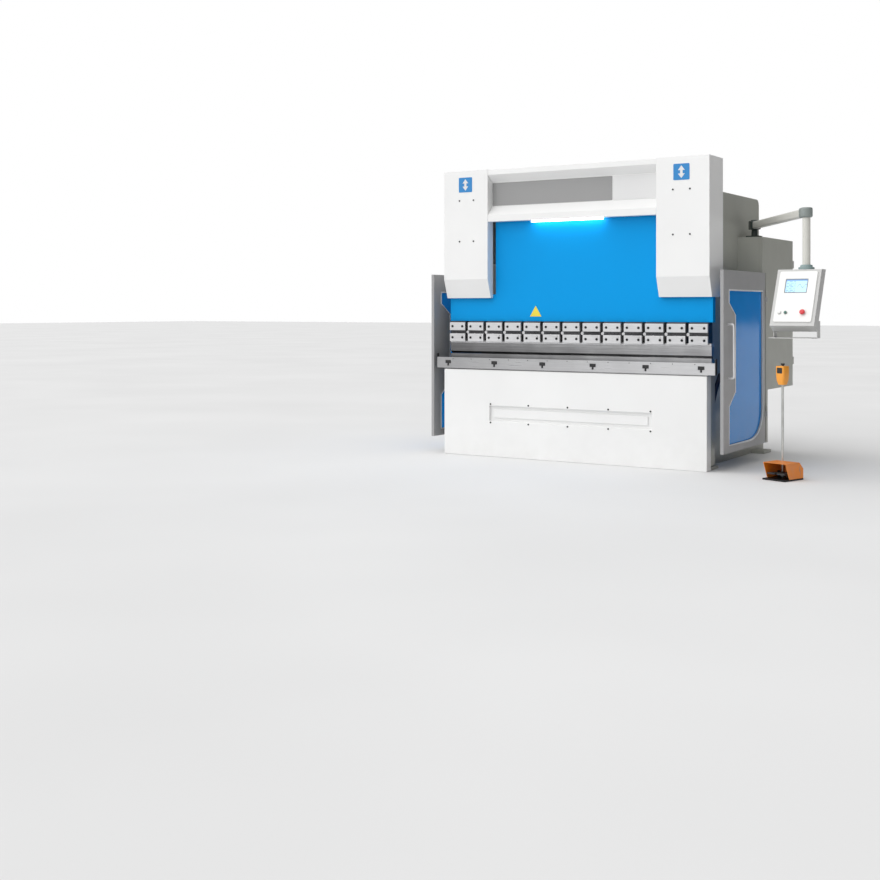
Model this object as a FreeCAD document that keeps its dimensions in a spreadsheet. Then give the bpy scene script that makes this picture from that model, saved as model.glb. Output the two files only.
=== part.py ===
"""Hydraulic press brake, 2.5 m bed: C-frame machine with a down-stroking ram,
side guard doors, back gauge, control cabinet, swing-arm pendant and foot pedals.

Axes: +X to the operator's right, +Y from the operator into the machine, +Z up.
Origin: centre of the four anchor-bolt holes, at floor level.  Millimetres.
"""
import FreeCAD, Part
import math
import os
import re

import Sketcher
from FreeCAD import Placement, Rotation, Vector

# Driving dimensions: alias, value, what it is.
SIZES = [
    ("bed_length", 2500.0, "working length"),
    ("bed_top", 773.0, "top of the bed apron and lower beam"),
    ("apron_depth", 98.0, "front to back of the apron"),
    ("apron_wall", 6.0, "sheet of the apron"),
    ("recess_margin", 474.0, "end of the bed to the recessed panel"),
    ("recess_low", 318.0, "underside of the recess"),
    ("recess_high", 455.0, "top of the recess"),
    ("recess_depth", 22.0, "depth of the recess"),
    ("beam_thick", 90.0, "lower beam plate"),
    ("frame_inset", 130.0, "end of the bed to a side frame's outer face"),
    ("frame_thick", 60.0, "side frame plate"),
    ("frame_rise", 850.0, "throat's upper edge to the top of the frames"),
    ("frame_step", 130.0, "how far the upper rear edge stands in"),
    ("frame_corner", 60.0, "radius of the upper rear corner"),
    ("throat_depth", 450.0, "bed front to the bottom of the throat"),
    ("throat_rise", 272.0, "ram's underside to the throat's upper edge"),
    ("foot_reach", 120.0, "anchor foot, out from the frame"),
    ("foot_run", 200.0, "anchor foot, along the frame"),
    ("foot_thick", 25.0, "anchor foot plate"),
    ("anchor_hole", 26.0, "anchor-bolt hole diameter"),
    ("anchor_front", 200.0, "bed front to the front anchor holes"),
    ("anchor_half_y", 700.0, "anchor holes, half spacing along"),
    ("anchor_rear", 250.0, "rear anchor holes to the frame's lower rear edge"),
    ("table_high", 92.0, "die table on the lower beam"),
    ("die_high", 48.0, "die rail above the table"),
    ("die_wide", 60.0, "die rail, front to back"),
    ("vee_wide", 16.0, "opening of the die's vee"),
    ("rail_overhang", 80.0, "front rail past each end of the bed"),
    ("rail_gap", 10.0, "bed top to the front rail"),
    ("rail_proud", 8.0, "front rail ahead of the bed"),
    ("rail_high", 97.0, "front support rail, height"),
    ("rail_thick", 32.0, "front support rail, front to back"),
    ("rail_cap", 8.0, "end caps of the rail"),
    ("cap_rise", 34.0, "end caps above the rail"),
    ("knob_pitch", 482.0, "clamps along the rail"),
    ("socket_wide", 56.0, "T socket in the rail, width"),
    ("socket_deep", 16.0, "T socket, depth"),
    ("ram_front", 122.0, "bed front to the ram's front face"),
    ("ram_thick", 60.0, "ram plate"),
    ("tool_line", 18.0, "ram's front face to the line of the tools"),
    ("ram_overhang", 8.0, "ram past each end of the bed"),
    ("ram_neck_gap", 26.0, "ram's neck to the covers' inner sides"),
    ("shoulder_rise", 242.0, "ram's underside to its shoulders"),
    ("ram_high", 1042.0, "ram, height of its neck's top over its underside"),
    ("guide_reach", 80.0, "ram's rear face to the frames' upper front edge"),
    ("guide_wide", 60.0, "ram guide"),
    ("guide_high", 120.0, "ram guide"),
    ("tool_gap", 2.0, "punch tip above the die when the ram is down"),
    ("clamp_pitch", 192.0, "tool clamps, spacing"),
    ("clamp_wide", 163.0, "tool clamp, width"),
    ("clamp_high", 173.0, "tool clamp body"),
    ("clamp_deep", 112.0, "tool clamp, front to back"),
    ("clamp_front", 66.0, "bed front to the clamp plates"),
    ("clamp_plate", 20.0, "front plates of a clamp, thickness"),
    ("plate_high", 72.0, "front plates of a clamp, height"),
    ("holder_high", 25.0, "lip under the clamps that holds the punch"),
    ("punch_high", 95.0, "punch under its holder"),
    ("cover_overhang", 16.0, "cylinder covers past each end of the bed"),
    ("cover_wide", 460.0, "cylinder cover, width"),
    ("cover_front", 19.0, "bed front to the cover's front face"),
    ("cover_rear", 338.0, "bed front to the cover's rear edge"),
    ("cover_rise", 209.0, "ram's underside to the covers' bottom edge"),
    ("cover_slope", 169.0, "height of the covers' sloping lower front"),
    ("cover_high", 1152.0, "cylinder covers, height"),
    ("cover_chamfer", 60.0, "how far the lower front slopes back"),
    ("sheet_wall", 3.0, "sheet metal of covers and cabinet"),
    ("cylinder_radius", 85.0, "cylinder housing"),
    ("cylinder_rise", 190.0, "ram's shoulders to the cylinder housings"),
    ("cylinder_high", 600.0, "cylinder housing, length"),
    ("rod_radius", 45.0, "piston rod"),
    ("rod_gap", 0.05, "running clearance of rods and pins"),
    ("piston_radius", 60.0, "piston"),
    ("visor_drop", 464.0, "height of the visor cover"),
    ("visor_inset", 5.0, "covers' top to the visor cover's top"),
    ("guard_gap", 112.0, "end of the bed to a guard door's inner face"),
    ("guard_thick", 30.0, "guard door leaf"),
    ("guard_low", 150.0, "bottom of the guard door"),
    ("guard_top", 1634.0, "top of the guard door"),
    ("guard_length", 1060.0, "guard door leaf, front to hinge side"),
    ("stile_front", 126.0, "door frame in front of the window"),
    ("stile_rear", 80.0, "door frame behind the window"),
    ("window_top", 165.0, "door frame above the window"),
    ("window_step", 155.0, "how far the frame widens beside the handle"),
    ("glass_thick", 5.0, "tinted window"),
    ("post_run", 45.0, "door post, along the side"),
    ("pin_radius", 5.0, "hinge pins"),
    ("knuckle_radius", 9.0, "hinge knuckles"),
    ("knuckle_high", 45.0, "one hinge knuckle"),
    ("hinge_out", 6.0, "door's outer face to the hinge axis"),
    ("hinge_behind", 10.0, "door's rear edge to the hinge axis"),
    ("hinge_low", 380.0, "lower hinge of a guard door"),
    ("hinge_high", 1380.0, "upper hinge of a guard door"),
    ("cabinet_behind", 75.0, "guard door's rear edge to the cabinet"),
    ("cabinet_length", 915.0, "cabinet, along the frame"),
    ("cabinet_deep", 220.0, "cabinet, out from the frame"),
    ("cabinet_low", 600.0, "bottom of the cabinet"),
    ("cabinet_top", 1955.0, "top of the cabinet"),
    ("cabinet_door_thick", 20.0, "cabinet door"),
    ("latch_radius", 14.0, "cabinet latch spindle"),
    ("latch_rise", 680.0, "cabinet's bottom to its latch"),
    ("arm_out", 130.0, "frame's outer face to the arm's pivot"),
    ("arm_behind", 60.0, "cabinet's front to the arm's pivot"),
    ("arm_rise", 105.0, "cabinet's top to the middle of the arm"),
    ("arm_pin", 14.0, "radius of the arm's pivot pin"),
    ("arm_length", 1500.0, "pendant arm, pivot to drop tube"),
    ("arm_angle", -56.8, "pendant arm at rest, degrees from +X"),
    ("arm_section", 62.0, "pendant arm tube, square"),
    ("arm_tube_wall", 4.0, "pendant arm tube, wall"),
    ("elbow_stub", 20.0, "radius of the drop tube's pivot stub"),
    ("drop_radius", 29.5, "pendant drop tube"),
    ("drop_length", 369.0, "pendant drop tube, length"),
    ("flange_radius", 60.0, "pendant's flange"),
    ("flange_thick", 30.0, "pendant's flange, thickness"),
    ("case_wide", 336.0, "pendant case"),
    ("case_side", 35.0, "drop tube to the middle of the case, to the left"),
    ("case_high", 430.0, "pendant case, height of its sloping front"),
    ("case_slope", 214.0, "pendant case, how far the front leans out"),
    ("case_deep", 112.0, "pendant case, front to back at the top"),
    ("bezel_thick", 8.0, "front plate of the pendant"),
    ("bezel_margin", 24.0, "case's side to the front plate"),
    ("screen_wide", 172.0, "pendant screen"),
    ("screen_high", 120.0, "pendant screen"),
    ("screen_rise", 275.0, "bottom of the screen, up the sloping front"),
    ("key_rise", 106.0, "keys, up the sloping front"),
    ("button_radius", 11.0, "pendant push buttons"),
    ("stop_radius", 21.0, "emergency stop mushroom"),
    ("tray_drop", 95.0, "case's front lower edge to the tray"),
    ("station_out", 650.0, "end of the bed to the pedal station's middle"),
    ("station_y", -100.0, "bed front to the pedal station's middle"),
    ("station_angle", -18.0, "pedal station, turned about Z"),
    ("station_wide", 205.0, "pedal station base"),
    ("station_deep", 240.0, "pedal station base"),
    ("plate_thick", 12.0, "pedal station base plate"),
    ("hood_high", 135.0, "pedal hood, top above the floor"),
    ("hood_wall", 4.0, "pedal hood, wall"),
    ("treadle_y", 70.0, "treadle pin, back from the station's middle"),
    ("treadle_z", 40.0, "treadle pin, above the floor"),
    ("post_radius", 9.5, "pedal station post"),
    ("post_flange", 15.0, "radius of the post's foot"),
    ("post_side", 32.5, "left edge of the station base to the post"),
    ("post_behind", 23.0, "rear edge of the station base to the post"),
    ("post_top", 725.0, "top of the post"),
    ("post_box_high", 148.0, "stop box on the post"),
    ("post_box_wide", 80.0, "stop box on the post"),
    ("gauge_inset", 490.0, "end of the bed to a back gauge rail"),
    ("gauge_rail_low", 680.0, "underside of the back gauge rails"),
    ("gauge_rail_high", 90.0, "back gauge rail, height"),
    ("gauge_beam_gap", 100.0, "frames' inner faces to the back gauge beam"),
    ("gauge_post", 40.0, "carriage post, square"),
    ("finger_x", 400.0, "middle to a back gauge finger"),
    ("hose_radius", 19.0, "hydraulic hose"),
    ("slide_gap", 0.3, "clearance between sliding faces"),
]

# Sizes and places that follow from the driving ones.
DERIVED = {
    "bed_front": "-(anchor_front + anchor_half_y)",
    "frame_outer": "bed_length / 2 - frame_inset",
    "frame_foot_rear": "anchor_front + 2 * anchor_half_y + anchor_rear",
    "frame_rear": "frame_foot_rear - frame_step",
    "beam_rear": "apron_depth + 2 + beam_thick",
    "anchor_half_x": "frame_outer + foot_reach / 2",
    "die_top": "bed_top + table_high + die_high",
    "rail_low": "bed_top + rail_gap",
    "rail_length": "bed_length + 2 * rail_overhang",
    "recess_length": "bed_length - 2 * recess_margin",
    "holder_low": "die_top + tool_gap + punch_high",
    "ram_low": "holder_low + holder_high + clamp_high",
    "ram_shoulder": "ram_low + shoulder_rise",
    "ram_length": "bed_length + 2 * ram_overhang",
    "throat_top": "ram_low + throat_rise",
    "frame_top": "throat_top + frame_rise",
    "jaw_front": "ram_front + ram_thick + guide_reach",
    "cover_outer": "bed_length / 2 + cover_overhang",
    "cover_inner": "cover_outer - cover_wide",
    "cover_low": "ram_low + cover_rise",
    "cover_break": "cover_low + cover_slope",
    "cover_top": "cover_low + cover_high",
    "cylinder_x": "(cover_outer + cover_inner) / 2",
    "cylinder_y": "bed_front + ram_front + ram_thick / 2",
    "cylinder_low": "ram_shoulder + cylinder_rise",
    "guard_x": "bed_length / 2 + guard_gap + guard_thick",
    "guard_high": "guard_top - guard_low",
    "cabinet_front": "bed_front + guard_length + cabinet_behind",
    "cabinet_face": "frame_outer + cabinet_deep - cabinet_door_thick",
    "arm_x": "frame_outer + arm_out",
    "arm_y": "cabinet_front + arm_behind",
    "arm_z": "cabinet_top + arm_rise",
    "tip_x": "arm_x + arm_length * cos(arm_angle * 1deg)",
    "tip_y": "arm_y + arm_length * sin(arm_angle * 1deg)",
    "elbow_low": "arm_z - arm_section / 2 - 8",
    "case_top": "elbow_low - drop_length - flange_thick",
    "case_x": "tip_x - case_side",
    "case_front": "tip_y - case_slope - case_deep / 2",
    "case_low": "case_top - case_high",
    "post_x": "post_side - station_wide / 2",
    "post_y": "station_deep / 2 - post_behind",
    "gauge_x": "bed_length / 2 - gauge_inset",
    "gauge_beam_low": "gauge_rail_low + 140",
    "gauge_beam_half": "frame_outer - frame_thick - gauge_beam_gap",
}
doc = FreeCAD.newDocument("press_brake")
sheet = doc.addObject("Spreadsheet::Sheet", "sizes")
for row, (alias, value, note) in enumerate(SIZES, start=1):
    sheet.set("A%d" % row, note)
    sheet.set("B%d" % row, repr(value))
    sheet.setAlias("B%d" % row, alias)
doc.recompute()

ALIASES = {alias for alias, value, note in SIZES}
SIDES = (("left", -1), ("right", 1))
pieces = []


def spelled_out(text, prefix):
    """An expression with derived names written out and each alias given a prefix."""
    def link(match):
        word = match.group(0)
        if word in DERIVED:
            return "(" + spelled_out(DERIVED[word], prefix) + ")"
        return prefix + word if word in ALIASES else word
    return re.sub(r"[a-z_][a-z0-9_]*", link, str(text))


def bound(text):
    """An expression whose names point at the sheet."""
    return spelled_out(text, "sizes.")


def bind(item, **properties):
    """Bind properties of an object to expressions of the driving dimensions."""
    for name, text in properties.items():
        item.setExpression(name, bound(text))


def place(item, x=0, y=0, z=0, angle=None, axis=Vector(0, 0, 1)):
    """Put an object at an expression-driven point, turned about an axis."""
    if angle is not None:
        item.Placement = Placement(Vector(), Rotation(axis, 1))
        item.setExpression("Placement.Rotation.Angle", bound(angle))
    item.setExpression("Placement.Base.x", bound(x))
    item.setExpression("Placement.Base.y", bound(y))
    item.setExpression("Placement.Base.z", bound(z))
    return item


def box(name, low, extent):
    """A block from its low corner and its three extents."""
    item = doc.addObject("Part::Box", name)
    bind(item, Length=extent[0], Width=extent[1], Height=extent[2])
    return place(item, *low)


def rod(name, start, direction, radius, length):
    """A cylinder from a start point along X, Y or Z."""
    item = doc.addObject("Part::Cylinder", name)
    bind(item, Radius=radius, Height=length)
    turns = {"X": (Vector(0, 1, 0), 90), "Y": (Vector(1, 0, 0), -90)}
    if direction in turns:
        item.Placement = Placement(Vector(), Rotation(*turns[direction]))
    return place(item, *start)


def fuse(name, parts):
    """One solid from several touching or overlapping ones."""
    item = doc.addObject("Part::MultiFuse", name)
    item.Shapes = parts
    item.Refine = True
    return item


def cut(name, base, tools):
    """A base with one or more tools taken away."""
    item = doc.addObject("Part::Cut", name)
    item.Base = base
    item.Tool = tools[0] if len(tools) == 1 else fuse(name + "_tools", tools)
    item.Refine = True
    return item


def group(name, parts):
    """Several like solids kept side by side as one sub-part."""
    item = doc.addObject("Part::Compound", name)
    item.Links = parts
    return item


def piece(label, item):
    """Name an object as a sub-part of the machine."""
    item.Label = label
    if item.Label != label:
        raise RuntimeError("the name %s is taken" % label)
    pieces.append(item)
    return item


def sketch_on(body, name, role, points):
    """A closed outline of straight edges, each corner bound to the sheet."""
    sketch = body.newObject("Sketcher::SketchObject", name)
    plane = [p for p in body.Origin.OriginFeatures if p.Role == role][0]
    sketch.AttachmentSupport = [(plane, "")]
    sketch.MapMode = "FlatFace"
    add_outline(sketch, points)
    return sketch


def add_outline(sketch, points):
    """Add one closed polygon to a sketch; corners are pairs of expressions."""
    first = len(sketch.Geometry)
    corners = [Vector(*(size(value) for value in point)) for point in points]
    count = len(corners)
    for i in range(count):
        sketch.addGeometry(Part.LineSegment(corners[i], corners[(i + 1) % count]), False)
    for i in range(count):
        following = first + (i + 1) % count
        sketch.addConstraint(Sketcher.Constraint("Coincident", first + i, 2, following, 1))
    for i, point in enumerate(points):
        for kind, axis, text in (("DistanceX", -2, point[0]), ("DistanceY", -1, point[1])):
            value = size(text)
            if text == "0":
                sketch.addConstraint(Sketcher.Constraint("PointOnObject", first + i, 1, axis))
                continue
            index = sketch.addConstraint(
                Sketcher.Constraint(kind, -1, 1, first + i, 1, value))
            sketch.setExpression("Constraints[%d]" % index, bound(text))


def size(text):
    """The number that an expression of sizes gives now."""
    value = sheet.evalExpression(spelled_out(text, ""))
    return float(getattr(value, "Value", value))


def prism(name, role, points, depth, holes=()):
    """A PartDesign body: an outline padded along +X, +Y or +Z from its plane."""
    body = doc.addObject("PartDesign::Body", name)
    sketch = sketch_on(body, name + "_outline", role, points)
    for hole in holes:
        add_outline(sketch, hole)
    pad = body.newObject("PartDesign::Pad", name + "_pad")
    pad.Profile = sketch
    pad.Reversed = role == "XZ_Plane"
    bind(pad, Length=depth)
    sketch.Visibility = False
    return body


def soften(body, name, radius, chosen):
    """Round the edges of a body that a test picks."""
    doc.recompute()
    tip = body.Tip
    names = ["Edge%d" % (i + 1) for i, edge in enumerate(tip.Shape.Edges) if chosen(edge)]
    fillet = body.newObject("PartDesign::Fillet", name)
    fillet.Base = (tip, names)
    bind(fillet, Radius=radius)
    body.Tip = fillet
    return body


def runs_along(edge, axis):
    """Whether an edge is straight and parallel to a direction."""
    if not isinstance(edge.Curve, (Part.Line, Part.LineSegment)):
        return False
    ends = edge.Vertexes[-1].Point - edge.Vertexes[0].Point
    return ends.normalize().cross(axis).Length < 1e-6


# ---------------------------------------------------------------- frame and bed

def make_frame():
    """Two C-shaped side frames with anchor feet, and the beams that tie them."""
    outline = [("beam_rear", "0"),
               ("frame_foot_rear", "0"),
               ("frame_foot_rear", "1050"),
               ("frame_rear", "1180"),
               ("frame_rear", "frame_top"),
               ("jaw_front", "frame_top"),
               ("jaw_front", "throat_top"),
               ("throat_depth - 70", "throat_top"),
               ("throat_depth", "throat_top - 70"),
               ("throat_depth", "bed_top + 90"),
               ("throat_depth - 90", "bed_top"),
               ("beam_rear", "bed_top")]
    for side, sign in SIDES:
        plate = prism("frame_plate_" + side, "YZ_Plane", outline, "frame_thick")
        inner = "frame_outer - frame_thick" if sign > 0 else "-frame_outer"
        place(plate, inner, "bed_front", 0)
        soften(plate, "frame_corner_" + side, "frame_corner",
               lambda edge: runs_along(edge, Vector(1, 0, 0))
               and edge.Vertexes[0].Z > size("frame_top") - 1
               and edge.Vertexes[0].Y > size("bed_front") + size("frame_rear") - 1)
        solids = [plate]
        holes = []
        foot_x = "frame_outer" if sign > 0 else "-frame_outer - foot_reach"
        for end, way in (("front", -1), ("rear", 1)):
            middle = "%d * anchor_half_y" % way
            solids.append(box("foot_%s_%s" % (end, side),
                              (foot_x, middle + " - foot_run / 2", 0),
                              ("foot_reach", "foot_run", "foot_thick")))
            holes.append(rod("anchor_%s_%s" % (end, side),
                             ("%d * anchor_half_x" % sign, middle, -1), "Z",
                             "anchor_hole / 2", "foot_thick + 2"))
        piece("side_frame_" + side,
              cut("side_frame_" + side, fuse("frame_solid_" + side, solids), holes))

    ties = []
    piece("lower_beam", box("lower_beam", ("-bed_length / 2", "bed_front + apron_depth + 1", 40),
                            ("bed_length", "beam_thick + 1", "bed_top - 40")))
    tie_front = "bed_front + jaw_front + 4"
    span = "2 * (frame_outer - frame_thick)"
    left = "frame_thick - frame_outer"
    ties.append(box("tie_front", (left, tie_front, "frame_top - 600"), (span, 40, 570)))
    ties.append(box("tie_top", (left, tie_front, "frame_top - 30"), (span, 700, 30)))
    ties.append(box("tie_rear", (left, tie_front + " + 670", "frame_top - 220"), (span, 30, 190)))
    for side, sign in SIDES:
        inner = "frame_outer - frame_thick" if sign > 0 else "-frame_outer"
        ties.append(box("cover_bracket_" + side,
                        (inner, "bed_front + jaw_front", "frame_top"),
                        ("frame_thick", 60, "cover_top - sheet_wall - frame_top")))
        ties.append(box("visor_bracket_" + side,
                        ("%d * cover_inner * 0.8 - 30" % sign,
                         tie_front, "frame_top"),
                        (60, 60, "cover_top - sheet_wall - visor_inset - frame_top")))
        guide_x = "%d * frame_outer - guide_wide / 2" % sign
        ties.append(box("guide_" + side,
                        (guide_x, "bed_front + ram_front + ram_thick + slide_gap",
                         "throat_top + 20"),
                        ("guide_wide", "guide_reach - slide_gap", "guide_high")))
    ties.append(box("tank_shelf", (left, "bed_front + 1000", "frame_top - 470"), (span, 560, 30)))
    piece("frame_ties", group("frame_ties", ties))


def make_bed():
    """Apron with its recessed panel, die table, die rail and front support rail."""
    outer = box("apron_outer", ("-bed_length / 2", "bed_front", 0),
                ("bed_length", "apron_depth", "bed_top"))
    inner = box("apron_hollow", ("apron_wall - bed_length / 2",
                                 "bed_front + recess_depth + 2 * apron_wall", -1),
                ("bed_length - 2 * apron_wall", "apron_depth", "bed_top + 1 - apron_wall"))
    recess = box("recess", ("-recess_length / 2", "bed_front - 1", "recess_low"),
                 ("recess_length", "recess_depth + 1", "recess_high - recess_low"))
    panel = box("recess_panel", ("40 - recess_length / 2", "bed_front + recess_depth - 10",
                                 "recess_low + 30"),
                ("recess_length - 80", "10", "recess_high - recess_low - 60"))
    piece("bed_apron", group("bed_apron", [cut("apron_shell", outer, [inner, recess]), panel]))
    piece("die_table", box("die_table",
                           ("-bed_length / 2", "bed_front + rail_thick - rail_proud", "bed_top"),
                           ("bed_length", "beam_rear - 2 - rail_thick + rail_proud", "table_high")))
    middle = "bed_front + ram_front + tool_line"
    die = prism("die_rail", "YZ_Plane",
                [("0", "0"), ("die_wide", "0"), ("die_wide", "die_high"),
                 ("die_wide / 2 + vee_wide / 2", "die_high"),
                 ("die_wide / 2", "die_high - vee_wide * 0.55"),
                 ("die_wide / 2 - vee_wide / 2", "die_high"), ("0", "die_high")],
                "bed_length")
    place(die, "-bed_length / 2", middle + " - die_wide / 2", "bed_top + table_high")
    piece("die_rail", die)

    rail_front = "bed_front - rail_proud"
    rail = box("rail_bar", ("rail_cap - rail_length / 2", rail_front, "rail_low"),
               ("rail_length - 2 * rail_cap", "rail_thick", "rail_high"))
    sockets = []
    clamps = []
    screws = []
    clamp_count = int(size("rail_length") // size("knob_pitch")) + 1
    for i in range(clamp_count):
        x = "%g * knob_pitch" % (i - (clamp_count - 1) / 2)
        z = "rail_low + rail_high * 0.42"
        sockets.append(box("slot_bar_%d" % i, (x + " - socket_wide / 2", rail_front + " - 1", z),
                           ("socket_wide", "socket_deep + 1", 30)))
        sockets.append(box("slot_stem_%d" % i, (x + " - 9", rail_front + " - 1", z + " - 22"),
                           (18, "socket_deep + 1", 23)))
        head = box("clamp_bar_%d" % i, (x + " - socket_wide / 2 + 2", rail_front + " - 6",
                                        z + " + 2"), ("socket_wide - 4", "socket_deep + 6", 26))
        stem = box("clamp_stem_%d" % i, (x + " - 7", rail_front + " - 3", z + " - 20"),
                   (14, "socket_deep + 3", 23))
        clamps.append(fuse("rail_clamp_%d" % i, [head, stem]))
    piece("front_rail", cut("front_rail", rail, sockets))
    caps = [box("rail_cap_" + side, (cap_x, rail_front, "rail_low"),
                ("rail_cap", "rail_thick", "rail_high + cap_rise"))
            for side, cap_x in (("left", "-rail_length / 2"), ("right", "rail_length / 2 - rail_cap"))]
    piece("rail_fittings", group("rail_fittings", clamps + caps))
    for i in range(tool_count):
        x = "%g * clamp_pitch" % (i - (tool_count - 1) / 2)
        screws.append(rod("rail_screw_%d" % i,
                          (x, rail_front + " - 4", "rail_low + rail_high - 13"), "Y", 3.5, 4))
    for i in range(5):
        for level in ("recess_high + 14", "recess_low - 14"):
            x = "%g * (recess_length / 2 - 12)" % ((i - 2) / 2)
            screws.append(rod("bed_screw_%d_%s" % (i, level[7]), (x, "bed_front - 5", level), "Y",
                              7.5, 5))
    return screws


# ---------------------------------------------------------------- ram and tools

def make_ram():
    """Ram plate with its shoulders, tool clamps, punch and piston rods."""
    half = "ram_length / 2"
    ram = prism("ram_plate", "XZ_Plane",
                [("-ram_length / 2", "ram_low"), (half, "ram_low"), (half, "ram_shoulder"),
                 ("cover_inner - ram_neck_gap", "ram_shoulder"),
                 ("cover_inner - ram_neck_gap", "ram_low + ram_high"),
                 ("ram_neck_gap - cover_inner", "ram_low + ram_high"),
                 ("ram_neck_gap - cover_inner", "ram_shoulder"),
                 ("-ram_length / 2", "ram_shoulder")],
                "ram_thick")
    place(ram, 0, "bed_front + ram_front", 0)
    piece("ram_plate", ram)

    bodies = []
    screws = []
    wedges = []
    front = "bed_front + clamp_front"
    for i in range(tool_count):
        x = "%g * clamp_pitch" % (i - (tool_count - 1) / 2)
        side_x = x + " - clamp_wide / 2"
        back = box("clamp_back_%d" % i, (side_x, front + " + clamp_plate", "ram_low - clamp_high"),
                   ("clamp_wide", "clamp_deep - clamp_plate", "clamp_high"))
        upper = box("clamp_upper_%d" % i, (side_x, front, "ram_low - 12 - plate_high"),
                    ("clamp_wide", "clamp_plate + 1", "plate_high"))
        lower = box("clamp_lower_%d" % i, (side_x, front, "ram_low - 12 - clamp_high"),
                    ("clamp_wide", "clamp_plate + 1", "plate_high"))
        bodies.append(fuse("tool_clamp_%d" % i, [back, upper, lower]))
        for column in (-1, 1):
            for level in (-48, -149):
                screws.append(rod("clamp_screw_%d_%d_%d" % (i, column + 1, -level),
                                  ("%s + %d * 52" % (x, column), front + " - 4",
                                   "ram_low + %d" % level), "Y", 9, 4))
        for k in range(4):
            screws.append(rod("clamp_set_%d_%d" % (i, k),
                              ("%s + %g" % (x, (k - 1.5) * 34), front + " + clamp_plate - 3",
                               "ram_low - 98"), "Y", 5, 3))
        wedge = prism("wedge_%d" % i, "XZ_Plane",
                      [("0", "14"), ("70", "0"), ("70", "10"), ("0", "24")], "8")
        place(wedge, x + " - 10", front + " - 8", "ram_low - 134")
        wedges.append(wedge)
        if i < tool_count - 1:
            wedges.append(rod("gap_pin_%d" % i,
                              (x + " + clamp_pitch / 2", front + " + 24", "ram_low - 100"), "Y",
                              "(clamp_pitch - clamp_wide) / 2", 60))
    piece("clamp_screws", group("clamp_screws", screws))
    piece("clamp_wedges", group("clamp_wedges", wedges))

    # The punch hangs under the clamps; its tip is over the die's vee.
    top = "punch_high"
    punch = prism("upper_punch", "YZ_Plane",
                  [("30", "0"), ("34", "0"), ("52", "30"), ("64", "punch_high - 24"),
                   ("64", top), ("2", top), ("2", "punch_high - 24"), ("6", "20")],
                  "bed_length")
    place(punch, "-bed_length / 2", "bed_front + ram_front + tool_line - 32",
          "die_top + tool_gap")
    piece("upper_punch", punch)
    holder = box("punch_holder",
                 ("-bed_length / 2", "bed_front + ram_front + tool_line - 36", "holder_low"),
                 ("bed_length", 72, "holder_high"))
    piece("tool_clamps", group("tool_clamps", bodies + [holder]))

    rods = []
    for side, sign in SIDES:
        x = "%d * cylinder_x" % sign
        y = "cylinder_y"
        shaft = rod("rod_shaft_" + side, (x, y, "ram_shoulder"), "Z", "rod_radius",
                    "cylinder_low + 120 - ram_shoulder")
        head = rod("rod_head_" + side, (x, y, "cylinder_low + 120"), "Z", "piston_radius", 60)
        foot = rod("rod_foot_" + side, (x, y, "ram_shoulder"), "Z", "rod_radius + 14", 22)
        rods.append(fuse("piston_rod_" + side, [shaft, head, foot]))
    piece("piston_rods", group("piston_rods", rods))
    plate = prism("safety_plate", "XZ_Plane", [("0", "0"), ("112", "0"), ("56", "94")], "2")
    place(plate, "-429", "bed_front + ram_front - 2", "ram_low + 44")
    piece("triangle_plate", plate)


def make_cylinders():
    """Hydraulic cylinders ahead of the frames, each with its bracket."""
    housings = []
    for side, sign in SIDES:
        x = "%d * cylinder_x" % sign
        y = "cylinder_y"
        barrel = rod("barrel_" + side, (x, y, "cylinder_low"), "Z", "cylinder_radius",
                     "cylinder_high")
        collar = rod("collar_" + side, (x, y, "cylinder_low"), "Z", "cylinder_radius + 10", 60)
        web = box("bracket_" + side, (x + " - 80", y, "cylinder_low + 80"),
                  (160, "ram_thick / 2 + guide_reach", "cylinder_high - 140"))
        bore = rod("bore_" + side, (x, y, "cylinder_low + 30"), "Z", "piston_radius + 0.5",
                   "cylinder_high - 60")
        gland = rod("gland_" + side, (x, y, "cylinder_low - 1"), "Z", "rod_radius + rod_gap", 40)
        housings.append(cut("cylinder_" + side,
                            fuse("cylinder_solid_" + side, [barrel, collar, web]), [bore, gland]))
    piece("ram_cylinders", group("ram_cylinders", housings))


# ---------------------------------------------------------------- covers

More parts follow.
